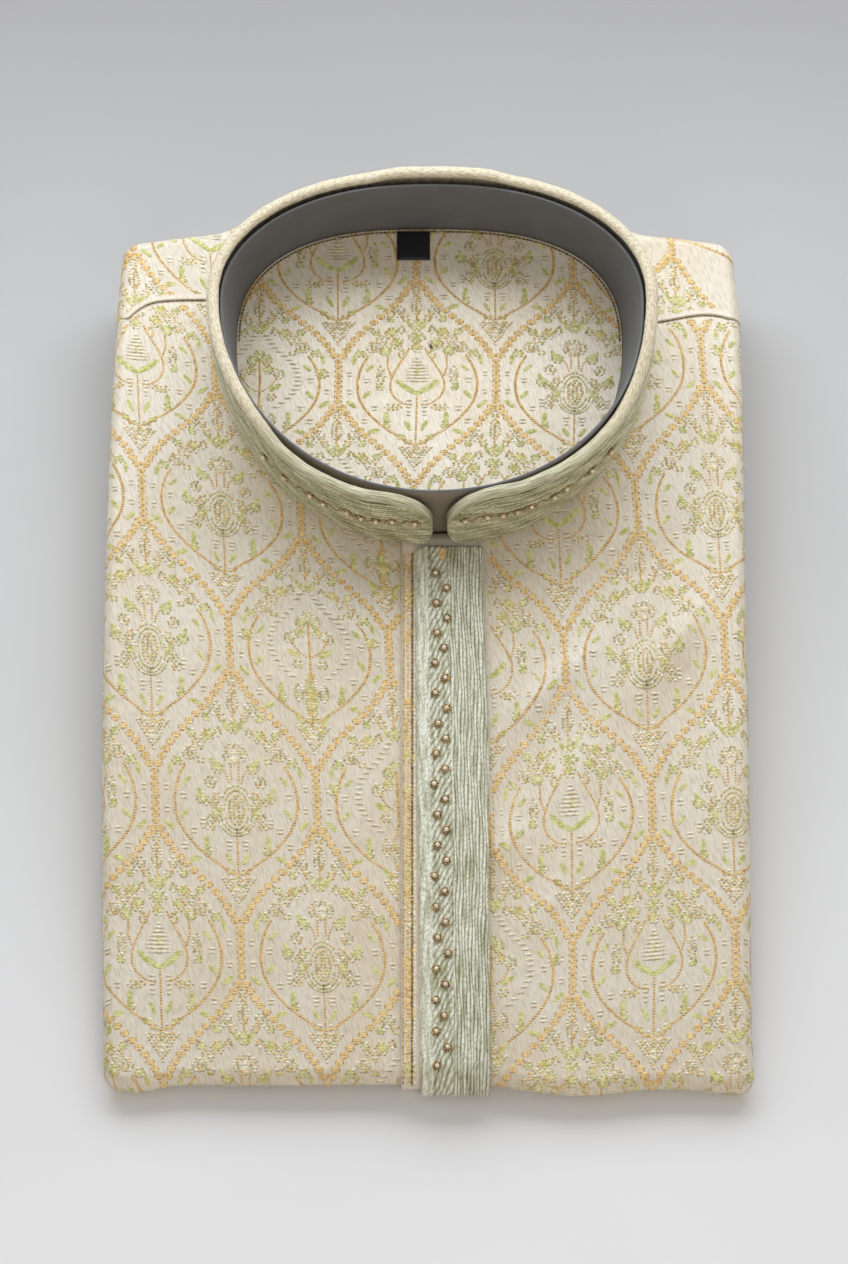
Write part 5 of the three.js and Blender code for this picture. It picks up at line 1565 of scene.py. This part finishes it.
class KURTA_OT_collar(bpy.types.Operator):
    """The stand collar: the threadwork band outside, and the facing that rolls over its top edge"""

    bl_idname = "kurta.collar"
    bl_label = "Collar"

    def execute(self, context):
        angle, run = collar_stations()
        outer = self.outer_band(angle, run)
        inner = self.facing(angle, run)
        dress(outer, "collar_outer")
        dress(inner, "collar_inner")
        return {"FINISHED"}

    def outer_band(self, angle, run):
        """Closed wall of threads laid along the band, which close up round its two ends."""
        low, top = end_low(run), end_top(run) - RIM_ROLL_DEPTH - SEAM_GAP
        top = np.maximum(top, low + 0.6)
        levels = np.linspace(0, 1, BAND_LEVELS)[:, None]
        height = lerp(low, top, levels)
        arc = angle * COLLAR_BASE["half"]
        pitch = settings().thread_pitch / MM * 1.2
        # The threads follow the band's own level, and bend with the rounded ends.
        sway = 0.3 * np.sin(arc / 9) + 0.16 * np.sin(arc / 3.7)
        level = levels * (COLLAR_HEIGHT - RIM_ROLL_DEPTH) + sway
        row = np.round(level / pitch)
        uneven = 0.8 + 0.14 * np.sin(arc / 2.1 + 7 * row) + 0.14 * np.sin(arc / 13 + 2.7 * row)
        relief = np.clip(uneven * np.abs(np.cos(np.pi * level / pitch)) ** 0.8, 0, 1)
        # A padded roll follows the upper third and fades into flat threads round the sides.
        pad = 0.5 * np.exp(-(((levels - 0.76) / 0.13) ** 2)) * (1 - smooth(30, 90, run))
        edges = smooth(0, 0.04, levels) * smooth(1, 0.96, levels) * smooth(0, 3, run)
        # The stiff lower edge stands out over the placket's end.
        pad = pad + 0.7 * np.exp(-(((levels - 0.12) / 0.12) ** 2)) * (1 - smooth(20, 60, run))
        outside = collar_point(angle, height, 0.35 - (0.42 * relief + pad) * edges)
        few = np.arange(BAND_LEVELS - 1, -1, -BAND_INSIDE_STEP)
        inside = collar_point(angle, height[few], COLLAR_WALL)
        points = np.concatenate([outside, inside])
        relief = np.concatenate([relief, np.full((len(few), len(arc)), 0.6)])
        uv = np.stack(np.broadcast_arrays(height, arc), -1)
        uv = np.concatenate([uv, uv[few]])
        return self.tube("collar_outer_band", points, "band", uv, relief)

    def facing(self, angle, run):
        """Facing up the inside of the band, with the rolled edge on top."""
        low, top = end_low(run), end_top(run)
        near = COLLAR_WALL + SEAM_GAP
        far = near + COLLAR_FACING - 0.4
        neck = top - RIM_ROLL_DEPTH
        arc = angle * COLLAR_BASE["half"]
        bumps = 0.12 * np.sin(arc / 2.3) + 0.08 * np.sin(arc / 0.9)
        half_wide, half_high = RIM_ROLL / 2, RIM_ROLL_DEPTH / 2
        wide, high = half_wide + bumps * 0.5, half_high + bumps * 0.5
        # The section goes up the outside, over the roll and down the inside.
        section = [(near, lerp(low, neck, t)) for t in (0.0, 0.35, 0.7, 1.0)]
        for turn in np.radians(np.linspace(200, -40, 18)):
            section.append((half_wide - 0.05 + wide * np.cos(turn),
                            top - half_high + high * np.sin(turn)))
        section += [(far, lerp(low, neck, t)) for t in (0.96, 0.6, 0.3, 0.0)]
        rows, maps = [], []
        for k, (inset, height) in enumerate(section):
            rows.append(collar_point(angle, np.maximum(height, low), inset))
            maps.append(np.stack([np.full_like(arc, k * 1.6), arc], -1))
        cloth = np.tile(smooth(45, 85, run), (len(rows), 1))
        return self.tube("collar_inner_facing", np.array(rows), "rim", np.array(maps), cloth)

    def tube(self, name, points, material, uv, relief):
        """Closed loft from sections: rows go round the section and columns along the band."""
        rows, columns = points.shape[:2]
        points, uv, relief = (np.swapaxes(v, 0, 1) for v in (points, uv, relief))
        faces = grid_faces(columns, rows, wrap=True).tolist()
        faces.append(list(range(rows)))
        faces.append([(columns - 1) * rows + j for j in reversed(range(rows))])
        return new_piece(name, points, faces, material, uv=uv, relief=relief)


class KURTA_OT_support(bpy.types.Operator):
    """The plain closed band of grey card that holds the collar open"""

    bl_idname = "kurta.support"
    bl_label = "Collar support"

    def execute(self, context):
        angle = np.linspace(0, 2 * np.pi, 200, endpoint=False)
        height = lerp(SUPPORT_FRONT_HEIGHT, SUPPORT_BACK_HEIGHT, 0.5 + 0.5 * np.sin(angle))

        def at(inset, t):
            fx, fy = egg_point(SUPPORT_FOOT, angle, inset)
            x, y = egg_point(mix_rings(SUPPORT_FOOT, SUPPORT_TOP, t), angle, inset)
            return np.stack([x, y, plain_top(fx, fy) - WALL + height * t], -1)

        outside = [at(0.0, t) for t in np.linspace(0, 0.985, 12)]
        rounded = [at(0.12, 0.995), at(0.35, 1.0),
                   at(SUPPORT_WALL - 0.35, 1.0), at(SUPPORT_WALL - 0.12, 0.995)]
        inside = [at(SUPPORT_WALL, t) for t in np.linspace(0.985, 0, 12)]
        points = np.array(outside + rounded + inside)
        rows, columns = points.shape[:2]
        faces = grid_faces(rows + 1, columns, wrap=True)[:, ::-1] % (rows * columns)
        outer = np.repeat(np.arange(rows) < len(outside), columns).astype(float)
        piece = new_piece("collar_support_band", points, faces, "support", relief=outer)
        dress(piece, "collar_support")
        return {"FINISHED"}


def placket_point(x, y, out=0.0):
    """Place of a point of the placket band, which lies over the lapped fronts."""
    return cloth_point(x, y, WALL + 2 * SEAM_GAP + out)


def bead_places():
    """The zigzag of beads down the placket."""
    step = settings().bead_step / MM
    beads = np.arange(int((BEAD_START_Y - BEAD_END_Y) / step * 2))
    y = BEAD_START_Y - beads * step / 2
    wander = 0.5 * np.sin(y / 7.1) + 0.3 * np.sin(y / 2.9)
    return np.where(beads % 2, BEAD_RIGHT_X, BEAD_LEFT_X) + wander, y


class KURTA_OT_placket(bpy.types.Operator):
    """The placket band in threadwork: a padded border, slanting threads and long twisted ones"""

    bl_idname = "kurta.placket"
    bl_label = "Placket band"

    def execute(self, context):
        xs = np.linspace(PLACKET_LEFT_X, PLACKET_RIGHT_X, 118)
        roll = np.radians(np.linspace(118, 6, 18)) * FOLD_RADIUS
        base = float(front_flat_edge(8))
        ys = np.concatenate([base - roll, np.linspace(base, PLACKET_BACK_Y - 3, 190),
                             PLACKET_BACK_Y - np.array([2.2, 1.5, 0.9, 0.4, 0.0])])
        x, y = np.meshgrid(xs, ys)
        u = x - PLACKET_LEFT_X
        width = PLACKET_RIGHT_X - PLACKET_LEFT_X
        pitch = settings().thread_pitch / MM
        sway = 0.35 * np.sin(y / 11) + 0.22 * np.sin(y / 4.3 + u)
        long_threads = np.abs(np.cos(np.pi * (u + sway) / pitch)) ** 0.7
        slanting = np.abs(np.cos(np.pi * (u - y * 0.5 + sway) / (pitch * 1.7))) ** 0.8
        border = np.abs(np.cos(np.pi * (u * 1.1 + 0.5 * np.sin(y / 1.9)) / pitch)) ** 0.5
        to_slanting, to_long = smooth(*BORDER_END, u), smooth(*SLANTING_END, u)
        relief = lerp(lerp(0.55 + 0.45 * border, slanting, to_slanting), long_threads, to_long)
        across = (u - BORDER_PAD["middle"]) / BORDER_PAD["half"]
        pad = BORDER_PAD["height"] * np.sqrt(np.maximum(0, 1 - across**2))
        edge = smooth(0, 0.9, np.minimum(u, width - u)) * smooth(0, 1.2, PLACKET_BACK_Y - y)
        out = (PLACKET_WALL - PLACKET_FOOT + 0.7 * edge + pad * edge
               + relief * lerp(0.16, 0.34, to_long) * edge)
        # The band narrows a little towards the neck, and its top corners are rounded.
        lean = (lerp(1.0, -0.7, smooth(-170, 40, y)) * (1 - u / width)
                + lerp(0.4, -1.5, smooth(-60, 40, y)) * u / width)
        corner = 2.4 * np.maximum(0, 1 - u / 5) ** 2 + 0.5 * np.maximum(0, 1 - (width - u) / 3) ** 2
        corner = corner * smooth(PLACKET_BACK_Y - 12, PLACKET_BACK_Y, y)
        points = placket_point(x + lean, y - corner, out)
        uv = np.stack([u, y], -1)
        piece = new_piece("placket_band_threads", points, grid_faces(*x.shape)[:, ::-1], "threadwork",
                          uv=uv, relief=relief)
        thicken(piece, 0.9)
        dress(piece, "placket_band")
        drop = self.teardrop()
        return {"FINISHED"}

    def teardrop(self):
        """The gold teardrop at the top of the band."""
        rows = oval_threads(5.2, 34.2, 3.8, 5.2, 0)
        rows[:, 2] *= np.clip((rows[:, 1] - 30.8) / 3.0, 0.3, 1)

        def at(x, y):
            return placket_point(x, y, PLACKET_WALL + 0.05)

        drop = lay_threads("placket_drop", at, rows, "gold", 0.6)
        follow(drop)
        return drop


def band_point(arc, height, out=0.3):
    """Place of a point on the threads of the standing band, by its run round the band and height."""
    return collar_point(np.asarray(arc, float) / COLLAR_BASE["half"], height, -out)


class KURTA_OT_beads(bpy.types.Operator):
    """The pearl beads in rings of brass beads, down the placket and along the collar with its cords"""

    bl_idname = "kurta.beads"
    bl_label = "Beads"

    def execute(self, context):
        def on_placket(x, y):
            return placket_point(x, y, PLACKET_WALL - 0.1)

        x, y = bead_places()
        band = directions(on_placket, x, y, np.zeros_like(x))
        arc, height = self.collar_places()
        collar = directions(band_point, arc, height, np.zeros_like(arc))
        places, run, out = (np.concatenate([a, b]) for a, b in zip(band, collar))
        ring = settings().bead_size / MM
        whole = np.ones((len(places), 3))
        rings = place_shapes("bead_rings", "ring", places + out * 0.25, run, out,
                             whole * ring, "brass")
        pearls = place_shapes("bead_pearls", "grain", places + out * 0.55, run, out,
                              whole * PEARL_SIZE, "pearl", Sides=12, Rings=8, Smooth=True)
        cords = []
        for k, (runs, levels) in enumerate(zip(np.split(arc, 2), np.split(height, 2))):
            # A cord starts just before the first bead of its half and goes on past the last.
            ends = runs[[0, -1]] + np.array([-2, 3]) * np.sign(runs[-1] - runs[0])
            along = np.linspace(*ends, 220)
            winding = 1.5 * np.sin((along - ends[0]) * 1.1)
            level = np.interp(along, np.sort(runs), levels[np.argsort(runs)])
            cords.append(stitch_row(f"cord_{k}", band_point, along, level + winding, "seam", 1.5,
                                    gap=-0.35, width=0.8, rise=0.3))
        cord = join_pieces("collar_cords", cords)
        for piece in (rings, pearls, cord):
            follow(piece)
        return {"FINISHED"}

    def collar_places(self):
        """Runs and heights of the beads along the two halves of the band."""
        start, end = (angle * COLLAR_BASE["half"] for angle in collar_ends())
        level = COLLAR_BEAD_HEIGHT + 0.8 * np.sin(COLLAR_BEAD_RUNS * 0.9)
        return (np.concatenate([start + COLLAR_BEAD_RUNS, end - COLLAR_BEAD_RUNS]),
                np.concatenate([level, level - 0.6]))


# Softboxes: name, place, aim, size (m), power (W) and colour.
LIGHTS = (
    ("rear softbox", (0.0, 0.5, 0.46), (0, 0.04, 0.03), (1.2, 0.5), 7.4, "#f4f9ff"),
    ("front softbox", (0.15, -1.1, 0.8), (0, -0.05, 0.03), (1.0, 1.0), 6.4, "#fff4e4"),
    ("left softbox", (-1.3, 0.1, 0.6), (0, 0, 0), (0.9, 0.9), 2.4, "#ffffff"),
    ("right softbox", (1.3, 0.1, 0.6), (0, 0, 0), (0.9, 0.9), 1.7, "#ffffff"),
)
ROOM_COLOUR, ROOM_STRENGTH = "#f4f5f7", 0.26
FLOOR_HALF = 8.0
CAMERA_LENS = 251.4
CAMERA_AIM = (-0.000594, 0.00735, 0.0185)


class KURTA_OT_stage(bpy.types.Operator):
    """The pale floor, the soft studio lights and the camera"""

    bl_idname = "kurta.stage"
    bl_label = "Stage"

    def execute(self, context):
        mesh = bpy.data.meshes.new("floor")
        corners = [(-FLOOR_HALF, -FLOOR_HALF, 0), (FLOOR_HALF, -FLOOR_HALF, 0),
                   (FLOOR_HALF, FLOOR_HALF, 0), (-FLOOR_HALF, FLOOR_HALF, 0)]
        mesh.from_pydata(corners, [], [(0, 1, 2, 3)])
        mesh.materials.append(paper_material("pale studio paper"))
        add_object("floor", mesh)

        for name, place, aim, size, power, colour in LIGHTS:
            light = bpy.data.lights.new(name, "AREA")
            light.shape = "RECTANGLE"
            light.size, light.size_y = size
            light.energy = power
            light.color = srgb(colour)[:3]
            lamp = add_object(name, light)
            lamp.location = place
            lamp.rotation_euler = (Vector(aim) - Vector(place)).to_track_quat("-Z", "Y").to_euler()

        world = bpy.data.worlds.new("studio")
        world.use_nodes = True
        background = world.node_tree.nodes["Background"]
        background.inputs["Color"].default_value = srgb(ROOM_COLOUR)
        background.inputs["Strength"].default_value = ROOM_STRENGTH
        bpy.context.scene.world = world
        bpy.context.scene.view_settings.view_transform = "Standard"

        camera = bpy.data.cameras.new("camera")
        camera.lens = CAMERA_LENS
        camera.sensor_width = 36.0
        camera.clip_end = 50
        lens = add_object("camera", camera)
        rise, away = settings().camera_height, settings().camera_distance
        lens.location = Vector(CAMERA_AIM) + Vector((0, -np.cos(rise), np.sin(rise))) * away
        lens.rotation_euler = Euler((np.pi / 2 - rise, 0, 0))
        bpy.context.scene.camera = lens
        return {"FINISHED"}


OPERATORS = (KURTA_OT_layers, KURTA_OT_fronts, KURTA_OT_inner_back, KURTA_OT_support, KURTA_OT_collar,
             KURTA_OT_placket, KURTA_OT_beads, KURTA_OT_stage)


class VIEW3D_PT_kurta(bpy.types.Panel):
    """Lists the kurta's settings and pieces"""

    bl_label = "Kurta"
    bl_space_type = "VIEW_3D"
    bl_region_type = "UI"
    bl_category = "Kurta"

    def draw(self, context):
        for name in KurtaSettings.__annotations__:
            self.layout.prop(context.scene.kurta, name)
        for operator in OPERATORS:
            self.layout.operator(operator.bl_idname)


CLASSES = (KurtaSettings, *OPERATORS, VIEW3D_PT_kurta)


def register():
    for each in CLASSES:
        bpy.utils.register_class(each)
    bpy.types.Scene.kurta = bpy.props.PointerProperty(type=KurtaSettings)


def unregister():
    del bpy.types.Scene.kurta
    for each in reversed(CLASSES):
        bpy.utils.unregister_class(each)


def main():
    """Makes every piece and the stage."""
    register()
    make_materials()
    make_trees()
    for operator in OPERATORS:
        group, name = operator.bl_idname.split(".")
        getattr(getattr(bpy.ops, group), name)()


if __name__ == "__main__":
    main()
